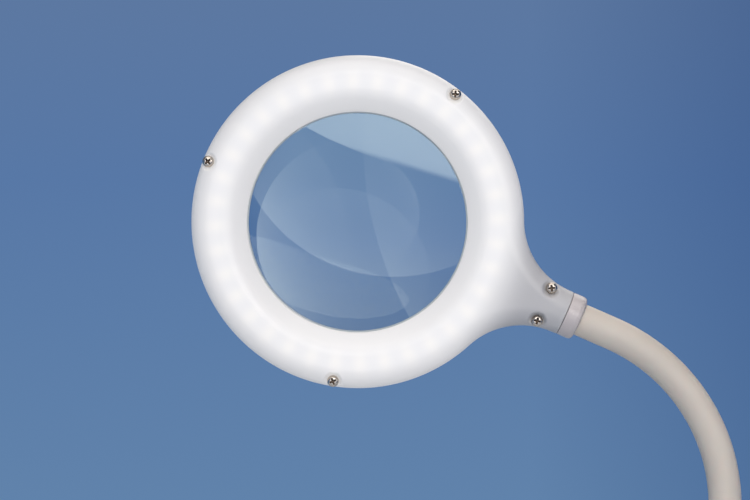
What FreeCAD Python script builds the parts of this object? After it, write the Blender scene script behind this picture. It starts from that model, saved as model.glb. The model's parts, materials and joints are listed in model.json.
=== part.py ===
"""Magnifying lamp: a round lens in a ring of lights, on a flexible neck and a weighted round base.

Frame: +Z up, origin at the centre of the base's underside, millimetres. The light ring faces -Y.
"""

import FreeCAD, Part
import math
import os
from FreeCAD import Placement, Rotation, Vector
import Sketcher

os.makedirs("parts", exist_ok=True)
doc = FreeCAD.newDocument("magnifying_lamp")

# ---------------------------------------------------------------- driving dimensions

DIMENSIONS = {
    # lens: glass, about three dioptres
    "lens_radius": 50.0,
    "lens_edge": 2.2,
    "lens_surface_radius": 346.0,
    "gasket_wall": 1.1,
    "gasket_lip": 0.5,
    "gasket_overlap": 1.0,
    "gasket_rise": 0.16,
    "seat_gap": 0.02,
    # head: two mirrored shell halves that meet at the lens plane
    "head_radius": 75.0,
    "shell_height": 10.1,
    "shell_wall": 2.0,
    "rim_rounding": 9.0,
    "opening_radius": 49.6,
    "lip_height": 1.0,
    "skirt_wall": 1.7,
    "skirt_gap": 0.1,
    "cone_radius": 56.8,
    "cone_wall": 2.2,
    "stem_half_width": 10.1,
    "stem_blend": 34.5,
    "stem_length": 102.0,
    "stem_cavity_end": 84.0,
    "rim_screw_circle": 72.2,
    "rim_screw_upper": 76.0,
    "rim_screw_far": 181.4,
    "rim_screw_lower": -75.0,
    "neck_screw_along": 91.6,
    "neck_screw_across": 8.0,
    "screw_seat": 5.8,
    "dish_radius": 4.0,
    "boss_radius": 5.0,
    # self-tapping screws
    "screw_radius": 1.5,
    "screw_pilot": 1.25,
    "screw_clearance": 1.7,
    "screw_head_radius": 2.65,
    "screw_head_height": 2.0,
    "screw_length": 11.0,
    "recess_width": 0.8,
    "recess_length": 2.56,
    "recess_depth": 1.1,
    "pilot_depth": 12.0,
    # light board
    "board_inner": 57.0,
    "board_outer": 66.8,
    "board_thickness": 1.6,
    "board_level": 1.0,
    "light_circle": 63.1,
    "light_length": 3.5,
    "light_width": 2.8,
    "light_height": 1.4,
    "light_window": 1.2,
    "resistor_circle": 59.2,
    "resistor_length": 2.0,
    "resistor_width": 1.25,
    "resistor_height": 0.5,
    "board_screw_circle": 60.2,
    "board_screw_radius": 1.0,
    "board_screw_head": 1.8,
    "board_screw_head_height": 1.26,
    "board_screw_length": 6.0,
    "board_post": 2.3,
    "board_hole_gap": 0.15,
    "post_pilot_depth": 4.5,
    # flexible neck
    "neck_radius": 7.35,
    "cup_gap": 0.3,
    "neck_x": 42.0,
    "neck_first_pivot": 66.0,
    "neck_pitch": 40.0,
    "neck_bend_radius": 85.0,
    "neck_slope": 23.6,
    "neck_straight": 16.0,
    "collar_length": 7.2,
    "collar_bore": 7.4,
    "collar_spigot": 8.6,
    "collar_spigot_length": 3.4,
    "collar_rounding": 1.8,
    "fitting_radius": 5.0,
    "fitting_bore": 3.5,
    "fitting_flange": 7.3,
    "fitting_flange_length": 2.5,
    "fitting_tail": 14.0,
    "fitting_bevel": 0.6,
    "fitting_below_nut": 2.0,
    "channel_gap": 0.1,
    "spigot_gap": 0.05,
    "thread_gap": 0.01,
    # base
    "base_radius": 78.0,
    "base_wall": 2.3,
    "base_side": 17.0,
    "base_rounding": 8.0,
    "base_centre_height": 27.0,
    "base_dome_radius": 770.0,
    "pad_radius": 73.5,
    "pad_thickness": 2.0,
    "pad_hole_gap": 0.8,
    "plate_radius": 75.2,
    "plate_thickness": 1.5,
    "weight_radius": 70.0,
    "weight_thickness": 12.0,
    "weight_opening": 13.5,
    "weight_bevel": 1.0,
    "boss_gap": 0.4,
    "base_screw_circle": 58.0,
    "base_boss": 3.8,
    "foot_boss": 14.0,
    "foot_boss_top": 28.0,
    "foot_boss_bottom": 23.4,
    "foot_rounding": 1.2,
    "foot_collar_height": 12.0,
    "foot_nut_flats": 14.0,
    "foot_nut_height": 5.0,
    "washer_radius": 10.0,
    "washer_thickness": 1.2,
    "washer_gap": 0.6,
    "washer_bore_gap": 0.2,
    "boss_sink": 0.6,
    # push button
    "button_x": -30.0,
    "button_radius": 7.0,
    "button_gap": 0.35,
    "button_flange": 8.3,
    "button_flange_thickness": 1.4,
    "button_flange_gap": 0.3,
    "button_rounding": 1.2,
    "button_plunger": 5.0,
    "button_overtravel": 0.5,
    "button_top": 28.8,
    "button_travel": 2.0,
    "button_stem": 2.5,
    "button_stem_gap": 0.06,
    "button_dish": 10.5,
    "button_dish_level": 25.7,
    "switch_radius": 7.5,
    "switch_top": 19.0,
    "switch_bottom": 6.0,
    "switch_ear": 13.2,
    "switch_ear_half": 4.0,
    "switch_ear_thickness": 2.0,
    "switch_screw_across": 11.2,
    "switch_post": 2.2,
    "spring_room": 1.0,
    "spring_pocket": 3.0,
    "spring_radius": 4.6,
    "spring_wire": 0.4,
    # low-voltage inlet
    "inlet_height": 11.0,
    "inlet_radius": 4.0,
    "inlet_flange": 5.6,
    "inlet_flange_length": 1.5,
    "inlet_length": 15.0,
    "inlet_bore": 2.75,
    "inlet_depth": 9.0,
    "inlet_pin": 1.05,
    "inlet_pin_recess": 1.0,
    "inlet_hole_gap": 0.1,
    "inlet_flat_gap": 0.5,
    "inlet_room_middle": 66.0,
    "inlet_room_width": 17.0,
    "inlet_room_depth": 18.0,
    "inlet_seat": 77.2,
    "inlet_boss": 7.0,
    "inlet_boss_face": 73.6,
    "inlet_nut_flats": 10.0,
    "inlet_nut_height": 2.0,
    # wires
    "wire_radius": 0.7,
    "lead_half_spacing": 1.5,
    "head_lead_bend": 1.0,
    "head_lead_in_fitting": 6.0,
    "head_lead_straight": 9.0,
    "head_lead_slant": 3.0,
    "head_lead_drop": 2.5,
    "head_lead_run": 6.0,
    "base_lead_bend": 1.4,
    "base_lead_over_weight": 1.8,
    "base_lead_over_plate": 6.5,
    "base_lead_from_neck": 11.0,
    "base_lead_spread": 3.0,
    "base_lead_half_spacing": 1.2,
    "base_lead_below_foot": 2.0,
    "base_lead_from_inlet": 3.7,
    "base_lead_from_switch": 3.0,
    "switch_tag_upper": 12.0,
    "switch_tag_lower": 10.0,
    "switch_tag_offset": 2.5,
}

sheet = doc.addObject("Spreadsheet::Sheet", "dims")
for row, (alias, number) in enumerate(DIMENSIONS.items(), start=1):
    sheet.set(f"A{row}", alias)
    sheet.set(f"B{row}", str(number))
    sheet.setAlias(f"B{row}", alias)
doc.recompute()


class Size:
    """A dimension that carries its value and the spreadsheet formula it comes from."""

    def __init__(self, value, formula):
        self.value = float(value)
        self.formula = formula

    @staticmethod
    def of(other):
        if isinstance(other, Size):
            return other
        return Size(other, f"({float(other)!r})")

    def combine(self, other, sign, value):
        return Size(value, f"({self.formula} {sign} {other.formula})")

    def __add__(self, other):
        other = Size.of(other)
        return self.combine(other, "+", self.value + other.value)

    def __sub__(self, other):
        other = Size.of(other)
        return self.combine(other, "-", self.value - other.value)

    def __mul__(self, other):
        other = Size.of(other)
        return self.combine(other, "*", self.value * other.value)

    def __truediv__(self, other):
        other = Size.of(other)
        return self.combine(other, "/", self.value / other.value)

    def __radd__(self, other):
        return Size.of(other) + self

    def __rsub__(self, other):
        return Size.of(other) - self

    def __rmul__(self, other):
        return Size.of(other) * self

    def __neg__(self):
        return Size.of(0) - self

    def root(self):
        return Size(math.sqrt(self.value), f"sqrt({self.formula})")

    def sine(self):
        return Size(math.sin(math.radians(self.value)), f"sin({self.formula})")

    def cosine(self):
        return Size(math.cos(math.radians(self.value)), f"cos({self.formula})")


def dim(alias):
    """The spreadsheet cell with that alias."""
    return Size(sheet.get(alias), f"dims.{alias}")


# ---------------------------------------------------------------- sketches and features

PLANES = {"XY": "XY_Plane", "XZ": "XZ_Plane", "YZ": "YZ_Plane"}


def new_body(name):
    """An empty body whose label names its file."""
    body = doc.addObject("PartDesign::Body", name)
    body.Label = name
    return body


def new_sketch(body, plane="XY", level=0.0):
    """A sketch on one of the body's origin planes, moved along the plane's normal to level."""
    sketch = body.newObject("Sketcher::SketchObject", f"{body.Name}_sketch")
    support = next(f for f in body.Origin.OriginFeatures if f.Role == PLANES[plane])
    sketch.AttachmentSupport = (support, [""])
    sketch.MapMode = "FlatFace"
    side = -1 if plane == "XZ" else 1
    level = Size.of(level)
    sketch.AttachmentOffset = Placement(Vector(0, 0, side * level.value), Rotation())
    sketch.setExpression("AttachmentOffset.Base.z", f"{side} * {level.formula}")
    return sketch


def fix(sketch, kind, *items):
    """Adds a dimensional constraint whose last item is a Size, and binds it to the sheet."""
    size = Size.of(items[-1])
    index = sketch.addConstraint(Sketcher.Constraint(kind, *items[:-1], size.value))
    sketch.setExpression(f"Constraints[{index}]", size.formula)


def arc_between(first, last, radius, turn):
    """The arc from first to last; turn is +1 anticlockwise, -1 clockwise, doubled if over a half turn."""
    chord = last - first
    reach = math.sqrt(max(radius**2 - (chord.Length / 2) ** 2, 0))
    left = Vector(-chord.y, chord.x, 0).normalize()
    side = turn if abs(turn) == 1 else -turn / 2
    centre = first + chord * 0.5 + left * reach * side
    ends = (first, last) if turn > 0 else (last, first)
    angles = [math.atan2(p.y - centre.y, p.x - centre.x) for p in ends]
    return Part.ArcOfCircle(Part.Circle(centre, Vector(0, 0, 1), radius), *angles)


def outline(sketch, corners):
    """A closed outline. A corner is (x, y), or (x, y, radius, turn) where an arc leads to the next."""
    points = [Vector(Size.of(c[0]).value, Size.of(c[1]).value, 0) for c in corners]
    ends = []
    for i, corner in enumerate(corners):
        first = points[i]
        last = points[(i + 1) % len(points)]
        if len(corner) == 2:
            index = sketch.addGeometry(Part.LineSegment(first, last), False)
            ends.append((index, 1, 2))
        else:
            arc = arc_between(first, last, Size.of(corner[2]).value, corner[3])
            index = sketch.addGeometry(arc, False)
            ends.append((index, 1, 2) if corner[3] > 0 else (index, 2, 1))
    for i, (index, _, last_end) in enumerate(ends):
        following, start, _ = ends[(i + 1) % len(ends)]
        sketch.addConstraint(Sketcher.Constraint("Coincident", index, last_end, following, start))
    for (index, start, _), corner in zip(ends, corners):
        fix(sketch, "DistanceX", -1, 1, index, start, corner[0])
        fix(sketch, "DistanceY", -1, 1, index, start, corner[1])
        if len(corner) == 4:
            fix(sketch, "Radius", index, corner[2])
    return sketch


def circle(sketch, x, y, radius):
    """A circle fixed by its centre and radius."""
    x, y, radius = Size.of(x), Size.of(y), Size.of(radius)
    ring = Part.Circle(Vector(x.value, y.value, 0), Vector(0, 0, 1), radius.value)
    index = sketch.addGeometry(ring, False)
    fix(sketch, "DistanceX", -1, 1, index, 3, x)
    fix(sketch, "DistanceY", -1, 1, index, 3, y)
    fix(sketch, "Radius", index, radius)
    return sketch


def rectangle(sketch, x, y, width, height):
    """A rectangle round the point (x, y)."""
    x, y = Size.of(x), Size.of(y)
    across, up = Size.of(width) / 2, Size.of(height) / 2
    corners = [(x - across, y - up), (x + across, y - up), (x + across, y + up), (x - across, y + up)]
    return outline(sketch, corners)


def hexagon(sketch, x, y, flats):
    """A nut's outline, measured across its flats."""
    corner = flats / math.sqrt(3)
    points = []
    for k in range(6):
        angle = math.radians(60 * k)
        points.append((x + corner * math.cos(angle), y + corner * math.sin(angle)))
    return outline(sketch, points)


def extrude(body, sketch, kind, length, back=False):
    """A Pad or Pocket of that length. A pad goes along the plane's positive axis unless back."""
    feature = body.newObject(f"PartDesign::{kind}", f"{body.Name}_{kind.lower()}")
    feature.Profile = sketch
    size = Size.of(length)
    feature.Length = size.value
    feature.setExpression("Length", size.formula)
    faces_away = sketch.AttachmentSupport[0][0].Role == "XZ_Plane"
    feature.Reversed = (faces_away != back) != (kind == "Pocket")
    sketch.Visibility = False
    return feature


def pad(body, sketch, length, back=False):
    return extrude(body, sketch, "Pad", length, back)


def pocket(body, sketch, length, back=False):
    """Cuts along the plane's positive axis unless back, and checks that it took something away."""
    doc.recompute()
    before = body.Shape.Volume
    feature = extrude(body, sketch, "Pocket", length, back)
    doc.recompute()
    if not body.Shape.Volume < before - 1e-6:
        raise RuntimeError(f"{body.Name}: a pocket cut nothing")
    return feature


def spin(body, sketch, axis="V_Axis", cut=False):
    """A full Revolution, or a Groove, about the sketch's vertical or horizontal axis."""
    kind = "Groove" if cut else "Revolution"
    feature = body.newObject(f"PartDesign::{kind}", f"{body.Name}_{kind.lower()}")
    feature.Profile = sketch
    feature.ReferenceAxis = (sketch, [axis])
    feature.Angle = 360
    return feature


def dress(body, base, kind, size, wanted):
    """A Fillet or Chamfer on the edges of base that wanted(edge) accepts."""
    doc.recompute()
    names = [f"Edge{i + 1}" for i, edge in enumerate(base.Shape.Edges) if wanted(edge)]
    if not names:
        raise RuntimeError(f"{body.Name}: no edge to round")
    feature = body.newObject(f"PartDesign::{kind}", f"{body.Name}_{kind.lower()}")
    feature.Base = (base, names)
    size = Size.of(size)
    prop = "Radius" if kind == "Fillet" else "Size"
    setattr(feature, prop, size.value)
    feature.setExpression(prop, size.formula)
    doc.recompute()
    return feature


def at_level(z, x_below=None):
    """Accepts edges that lie at height z, and left of x_below where that is given."""

    def wanted(edge):
        box = edge.BoundBox
        level = abs(box.ZMin - z) < 1e-4 and abs(box.ZMax - z) < 1e-4
        return level and (x_below is None or box.XMin < x_below - 1e-3)

    return wanted


def group(name, shape, placements):
    """One node of identical pieces: a copy of shape at each placement."""
    copies = []
    for place in placements:
        piece = shape.copy()
        piece.Placement = place.multiply(piece.Placement)
        copies.append(piece)
    feature = doc.addObject("Part::Feature", name)
    feature.Label = name
    feature.Shape = Part.makeCompound(copies)
    return feature


def tube(points, radius, bend):
    """A round tube along straight runs that are joined by tangent arcs of radius bend."""
    edges = []
    last = points[0]
    for i in range(1, len(points) - 1):
        corner = points[i]
        before = (points[i - 1] - corner).normalize()
        after = (points[i + 1] - corner).normalize()
        half = before.getAngle(after) / 2
        trim = bend / math.tan(half)
        start = corner + before * trim
        end = corner + after * trim
        inward = (before + after).normalize()
        middle = corner + inward * (bend / math.sin(half) - bend)
        edges.append(Part.LineSegment(last, start).toShape())
        edges.append(Part.Arc(start, middle, end).toShape())
        last = end
    edges.append(Part.LineSegment(last, points[-1]).toShape())
    path = Part.Wire(edges)
    section = Part.Wire(Part.Circle(points[0], points[1] - points[0], radius).toShape())
    return path.makePipeShell([section], True, False)


# ---------------------------------------------------------------- where the head and the neck are

neck_slope = dim("neck_slope").value
bend_radius = dim("neck_bend_radius").value
pitch = dim("neck_pitch").value
STRAIGHT_LINKS = 4
BEND_LINKS = 2

bend_start = Vector(dim("neck_x").value, 0, dim("neck_first_pivot").value + STRAIGHT_LINKS * pitch)
bend_centre = bend_start - Vector(bend_radius, 0, 0)
bend_angle = 90 - neck_slope


def on_bend(angle):
    """The point of the neck's centreline that many degrees round its bend."""
    turn = math.radians(angle)
    return bend_centre + Vector(math.cos(turn), 0, math.sin(turn)) * bend_radius


stem_tip = dim("stem_length") + dim("collar_length") + dim("neck_straight")
outward = Vector(math.cos(math.radians(neck_slope)), 0, -math.sin(math.radians(neck_slope)))
head_centre = on_bend(bend_angle) - outward * stem_tip.value
# the head's own x runs from the lens to the neck, its y up across it, its z out of the lit side
head_place = Placement(head_centre, Rotation(outward, Vector(), Vector(0, -1, 0), "ZXY"))

# long enough to cut through any wall
THROUGH = 20.0
FLIP = Placement(Vector(), Rotation(Vector(1, 0, 0), 180))


def on_head(x, y, z):
    """A placement at a point of the head's own frame."""
    return head_place.multiply(Placement(Vector(x, y, z), Rotation()))


def round_head(radius, angles, z):
    """Placements on a circle of the head's own frame, each turned to face outward."""
    places = []
    for angle in angles:
        turn = Rotation(Vector(0, 0, 1), angle)
        spot = turn.multVec(Vector(radius, 0, 0)) + Vector(0, 0, z)
        places.append(head_place.multiply(Placement(spot, turn)))
    return places


RIM_ANGLES = (dim("rim_screw_upper"), dim("rim_screw_far"), dim("rim_screw_lower"))
BOARD_ANGLES = (30.0, 150.0, 270.0)

# ---------------------------------------------------------------- screws


def screw(name, shank, head_radius, head_height, length, recess=True):
    """A pan head screw along -Z with its head's underside at the origin."""
    body = new_body(name)
    blunt = 0.35
    crown = head_height * 0.55
    point = shank * 1.6
    profile = new_sketch(body, "XZ")
    outline(
        profile,
        [
            (0, -length),
            (shank * blunt, -length),
            (shank, point - length),
            (shank, 0),
            (head_radius, 0),
            (head_radius, head_height - crown, head_radius, 1),
            (head_radius * blunt, head_height),
            (0, head_height),
        ],
    )
    spin(body, profile)
    if recess:
        arm = (dim("recess_length"), dim("recess_width"))
        for width, height in (arm, arm[::-1]):
            slot = new_sketch(body, "XY", head_height)
            rectangle(slot, 0, 0, width, height)
            pocket(body, slot, dim("recess_depth"), back=True)
    return body


shell_screw = screw(
    "shell_screw",
    dim("screw_radius"),
    dim("screw_head_radius"),
    dim("screw_head_height"),
    dim("screw_length"),
)
board_screw = screw(
    "board_screw",
    dim("board_screw_radius"),
    dim("board_screw_head"),
    dim("board_screw_head_height"),
    dim("board_screw_length"),
    recess=False,
)
doc.recompute()

seat = dim("screw_seat").value
along = dim("neck_screw_along").value
across = dim("neck_screw_across").value
rim_places = round_head(dim("rim_screw_circle").value, [angle.value for angle in RIM_ANGLES], seat)
group("rim_screws", shell_screw.Shape, rim_places)
group("neck_screws", shell_screw.Shape, [on_head(along, side * across, seat) for side in (-1, 1)])

# ---------------------------------------------------------------- head shells


def planform(sketch, inset, stem_end):
    """The head's outline from the front: a disc that flows into a stem, inset all round."""
    disc = dim("head_radius") - inset
    blend = dim("stem_blend") + inset
    half = dim("stem_half_width") - inset
    lift = (half + blend) / (disc + blend)
    reach = (1 - lift * lift).root()
    blend_x = (disc + blend) * reach
    first = [(disc * reach, disc * lift, disc, 2), (disc * reach, -disc * lift, blend, -1)]
    if stem_end.value < blend_x.value:
        left = blend_x - stem_end
        half = half + blend - (blend * blend - left * left).root()
        return outline(sketch, first + [(stem_end, -half), (stem_end, half, blend, -1)])
    straight = [(blend_x, -half), (stem_end, -half), (stem_end, half), (blend_x, half, blend, -1)]
    return outline(sketch, first + straight)


def shell_half(name, is_front):
    """Half of the head, drawn as the front one: its open side is at z = 0 and its face at shell_height."""
    body = new_body(name)
    wall = dim("shell_wall")
    height = dim("shell_height")
    stem_end = dim("stem_length")

    outside = planform(new_sketch(body), Size.of(0), stem_end)
    block = pad(body, outside, height)
    end = stem_end.value
    dress(body, block, "Fillet", dim("rim_rounding"), at_level(height.value, x_below=end))

    core = new_body(f"{name}_core")
    inside = planform(new_sketch(core), wall, dim("stem_cavity_end"))
    core_block = pad(core, inside, height - wall)
    cavity_end = dim("stem_cavity_end").value
    rounded = at_level((height - wall).value, x_below=cavity_end)
    dress(core, core_block, "Fillet", dim("rim_rounding") - wall, rounded)
    bosses = new_sketch(core)
    for angle in RIM_ANGLES:
        circle(bosses, *polar(dim("rim_screw_circle"), angle), dim("boss_radius"))
    pocket(core, bosses, height)
    hollow = body.newObject("PartDesign::Boolean", f"{name}_hollow")
    hollow.Type = "Cut"
    hollow.setObjects([core])
    doc.recompute()

    # the cone that leads down from the face to the lens, with the skirt that centres the gasket
    opening = dim("opening_radius")
    cone = dim("cone_radius")
    skirt = dim("lens_radius") + dim("gasket_wall") + dim("skirt_gap")
    skirt_outer = skirt + dim("skirt_wall")
    gasket_top = dim("lens_edge") / 2 + dim("gasket_lip") + dim("seat_gap")
    lip_top = gasket_top + dim("lip_height")
    cone_section = new_sketch(body, "XZ")
    outline(
        cone_section,
        [
            (skirt, 0),
            (skirt_outer, 0),
            (skirt_outer, gasket_top),
            (cone + dim("cone_wall"), height - wall),
            (cone + dim("cone_wall"), height),
            (cone, height),
            (opening, lip_top),
            (opening, gasket_top),
            (skirt, gasket_top),
        ],
    )
    spin(body, cone_section)

    # everything inside the lens opening is cut away
    void = new_sketch(body, "XZ")
    outline(
        void,
        [
            (0, -1),
            (opening, -1),
            (opening, lip_top),
            (cone, height),
            (cone, height + 1),
            (0, height + 1),
        ],
    )
    spin(body, void, cut=True)

    # posts that carry the light board
    if not is_front:
        posts = new_sketch(body, "XY", -dim("board_level"))
        for angle in BOARD_ANGLES:
            circle(posts, *polar(dim("board_screw_circle"), angle), dim("board_post"))
        pad(body, posts, height - wall / 2 + dim("board_level"))

    # channel for the neck's fitting and the collar's spigot, along the stem
    spigot_start = stem_end - dim("collar_spigot_length") - dim("spigot_gap")
    flange_start = spigot_start - dim("fitting_flange_length") - dim("spigot_gap")
    spigot_room = dim("collar_spigot") + dim("spigot_gap")
    flange_room = dim("fitting_flange") + dim("channel_gap")
    tail_room = dim("fitting_radius") + dim("channel_gap")
    channel_start = dim("stem_cavity_end") - 1
    channel = new_sketch(body, "XY")
    outline(
        channel,
        [
            (channel_start, 0),
            (stem_end + 1, 0),
            (stem_end + 1, spigot_room),
            (spigot_start, spigot_room),
            (spigot_start, flange_room),
            (flange_start, flange_room),
            (flange_start, tail_room),
            (channel_start, tail_room),
        ],
    )
    spin(body, channel, axis="H_Axis", cut=True)

    if is_front:
        holes = new_sketch(body)
        circle_at_screws(holes, dim("screw_clearance"))
        pocket(body, holes, height)
        dishes = new_sketch(body, "XY", dim("screw_seat"))
        circle_at_screws(dishes, dim("dish_radius"))
        pocket(body, dishes, height)
    else:
        holes = new_sketch(body)
        circle_at_screws(holes, dim("screw_pilot"))
        pocket(body, holes, height - wall)
        post_holes = new_sketch(body, "XY", -dim("board_level"))
        for angle in BOARD_ANGLES:
            circle(post_holes, *polar(dim("board_screw_circle"), angle), dim("board_screw_radius"))
        pocket(body, post_holes, dim("board_screw_length"))
    body.Placement = head_place if is_front else head_place.multiply(FLIP)
    return body


def polar(radius, angle):
    """The x and y of a point on a circle; angle is a number or a Size, in degrees."""
    angle = Size.of(angle)
    return radius * angle.cosine(), radius * angle.sine()


def circle_at_screws(sketch, radius):
    """A circle of that radius round each of the five shell screws."""
    for angle in RIM_ANGLES:
        circle(sketch, *polar(dim("rim_screw_circle"), angle), radius)
    for side in (-1, 1):
        circle(sketch, dim("neck_screw_along"), dim("neck_screw_across") * side, radius)


shell_half("front_shell", True)
shell_half("rear_shell", False)

# ---------------------------------------------------------------- lens and gasket


def lens_profile(body):
    """The biconvex lens as half of its section."""
    radius = dim("lens_radius")
    surface = dim("lens_surface_radius")
    edge = dim("lens_edge") / 2
    crown = edge + surface - (surface * surface - radius * radius).root()
    section = new_sketch(body, "XZ")
    outline(
        section,
        [(0, -crown, surface, 1), (radius, -edge), (radius, edge, surface, 1), (0, crown)],
    )
    spin(body, section)


lens = new_body("magnifier_lens")
lens_profile(lens)
lens.Placement = head_place

gasket = new_body("lens_gasket")
gasket_section = new_sketch(gasket, "XZ")
rim = dim("lens_radius")
lip = dim("lens_radius") - dim("gasket_overlap")
half_edge = dim("lens_edge") / 2
thick = half_edge + dim("gasket_lip")
groove = rim + dim("seat_gap")
# the lips reach over the lens's curved faces, so they are thinner at the inside by gasket_rise
outline(
    gasket_section,
    [
        (lip, -thick),
        (rim + dim("gasket_wall"), -thick),
        (rim + dim("gasket_wall"), thick),
        (lip, thick),
        (lip, half_edge + dim("gasket_rise")),
        (groove, half_edge + dim("thread_gap")),
        (groove, -half_edge - dim("thread_gap")),
        (lip, -half_edge - dim("gasket_rise")),
    ],
)
spin(gasket, gasket_section)
gasket.Placement = head_place

# ---------------------------------------------------------------- light board

board = new_body("led_board")
board_ring = new_sketch(board, "XY", dim("board_level"))
circle(board_ring, 0, 0, dim("board_outer"))
circle(board_ring, 0, 0, dim("board_inner"))
for angle in BOARD_ANGLES:
    hole = dim("board_screw_radius") + dim("board_hole_gap")
    circle(board_ring, *polar(dim("board_screw_circle"), angle), hole)
pad(board, board_ring, dim("board_thickness"))
board.Placement = head_place
board_top = dim("board_level") + dim("board_thickness")

light = new_body("light_chip")
light_base = new_sketch(light)
rectangle(light_base, 0, 0, dim("light_width"), dim("light_length"))
pad(light, light_base, dim("light_height"))
window = new_sketch(light, "XY", dim("light_height"))
circle(window, 0, 0, dim("light_window"))
pocket(light, window, dim("light_height") / 4, back=True)

resistor = new_body("resistor_chip")
resistor_base = new_sketch(resistor)
rectangle(resistor_base, 0, 0, dim("resistor_width"), dim("resistor_length"))
pad(resistor, resistor_base, dim("resistor_height"))
doc.recompute()

LIGHT_COUNT = 36
RESISTOR_COUNT = 12
light_step = 360 / LIGHT_COUNT
light_angles = [light_step * (k + 0.5) for k in range(LIGHT_COUNT)]
resistor_angles = [light_step + 360 / RESISTOR_COUNT * k for k in range(RESISTOR_COUNT)]
top = board_top.value
group("leds", light.Shape, round_head(dim("light_circle").value, light_angles, top))
group(
    "led_resistors",
    resistor.Shape,
    round_head(dim("resistor_circle").value, resistor_angles, top),
)
group("board_screws", board_screw.Shape, round_head(dim("board_screw_circle").value, BOARD_ANGLES, top))

# ---------------------------------------------------------------- neck fittings


def neck_collar(name, back, front, spigot):
    """A ring round the neck from back to front along Z, with a spigot below it and a rounded far edge."""
    body = new_body(name)
    ring = new_sketch(body)
    circle(ring, 0, 0, dim("stem_half_width"))
    circle(ring, 0, 0, dim("collar_bore"))
    ring.AttachmentOffset = Placement(Vector(0, 0, back.value), Rotation())
    ring.setExpression("AttachmentOffset.Base.z", back.formula)
    block = pad(body, ring, front - back)
    edge_radius = dim("stem_half_width").value
    rounded = at_level(front.value)
    dress(
        body,
        block,
        "Fillet",
        dim("collar_rounding"),
        lambda edge: rounded(edge) and abs(edge.BoundBox.XMax - edge_radius) < 1e-3,
    )
    if spigot is not None:
        sleeve = new_sketch(body, "XY", back)
        circle(sleeve, 0, 0, dim("collar_spigot"))
        circle(sleeve, 0, 0, dim("collar_bore"))
        pad(body, sleeve, spigot, back=True)
    return body


# turns a piece drawn along Z so that it lies along the stem, from the lens to the neck
ALONG_STEM = head_place.multiply(Placement(Vector(), Rotation(Vector(0, 1, 0), 90)))

stem_length = dim("stem_length")
collar_end = stem_length + dim("collar_length")
collar = neck_collar("neck_collar", stem_length, collar_end, dim("collar_spigot_length"))
collar.Placement = ALONG_STEM

flange_end = stem_length - dim("collar_spigot_length") - dim("spigot_gap")
flange_start = flange_end - dim("fitting_flange_length")


def hollow_fitting(name, corners):
    """A turned fitting: half of its section, spun about Z."""
    body = new_body(name)
    section = new_sketch(body, "XZ")
    outline(section, corners)
    spin(body, section)
    return body


fitting_bore = dim("fitting_bore")
fitting = hollow_fitting(
    "neck_fitting",
    [
        (fitting_bore, flange_start - dim("fitting_tail")),
        (dim("fitting_radius"), flange_start - dim("fitting_tail")),
        (dim("fitting_radius"), flange_start),
        (dim("fitting_flange"), flange_start),
        (dim("fitting_flange"), flange_end),
        (fitting_bore, flange_end),
    ],
)
fitting.Placement = ALONG_STEM

# ---------------------------------------------------------------- flexible neck

neck_radius = dim("neck_radius")
cup = dim("neck_radius") + dim("cup_gap")
cup_rim = (cup * cup - neck_radius * neck_radius).root()


def straight_link(name, length, has_cup, start=0.0):
    """A straight stretch of the neck along Z: a hollow cup at the origin and a dome at its far end."""
    body = new_body(name)
    section = new_sketch(body, "XZ")
    top = [(neck_radius, length, neck_radius, 1), (0, length + neck_radius)]
    if has_cup:
        bottom = [(0, cup, cup, -1), (neck_radius, cup_rim)]
    else:
        bottom = [(0, start), (neck_radius, start)]
    outline(section, bottom + top)
    spin(body, section)
    return body


def curved_link(name, angle):
    """A stretch of the neck's bend: its cup is at the origin, and it curves from +Z towards -X."""
    body = new_body(name)
    section = new_sketch(body)
    circle(section, 0, 0, neck_radius)
    axis = Part.LineSegment(Vector(-bend_radius, -1, 0), Vector(-bend_radius, 1, 0))
    index = section.addGeometry(axis, True)
    section.addConstraint(Sketcher.Constraint("Vertical", index))
    fix(section, "DistanceX", -1, 1, index, 1, -dim("neck_bend_radius"))
    fix(section, "DistanceY", -1, 1, index, 1, -1)
    fix(section, "DistanceY", index, 1, index, 2, 2)
    bend = body.newObject("PartDesign::Revolution", f"{name}_bend")
    bend.Profile = section
    bend.ReferenceAxis = (section, ["Axis0"])
    bend.Angle = angle
    bend.Reversed = True
    doc.recompute()
    if body.Shape.BoundBox.ZMax < 1:
        raise RuntimeError(f"{name}: it bends the wrong way")
    dome = body.newObject("PartDesign::AdditiveSphere", f"{name}_dome")
    dome.setExpression("Radius", neck_radius.formula)
    dome.Angle1 = 0
    turn = Rotation(Vector(0, 1, 0), -angle)
    end = Vector(-bend_radius, 0, 0) + turn.multVec(Vector(bend_radius, 0, 0))
    dome.Placement = Placement(end, turn)
    hollow = body.newObject("PartDesign::SubtractiveSphere", f"{name}_cup")
    hollow.setExpression("Radius", cup.formula)
    doc.recompute()
    return body


neck_x = dim("neck_x").value
first_pivot = dim("neck_first_pivot")
foot_top = dim("foot_boss_top")

neck_link = straight_link("neck_link_0", first_pivot, False, foot_top + dim("fitting_flange_length"))
neck_link.Placement = Placement(Vector(neck_x, 0, 0), Rotation())
for k in range(STRAIGHT_LINKS):
    neck_link = straight_link(f"neck_link_{k + 1}", dim("neck_pitch"), True)
    height = first_pivot.value + k * pitch
    neck_link.Placement = Placement(Vector(neck_x, 0, height), Rotation())
link_angle = bend_angle / BEND_LINKS
for k in range(BEND_LINKS):
    neck_link = curved_link(f"neck_link_{k + 1 + STRAIGHT_LINKS}", link_angle)
    turn = Rotation(Vector(0, 1, 0), -k * link_angle)
    neck_link.Placement = Placement(on_bend(k * link_angle), turn)

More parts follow.
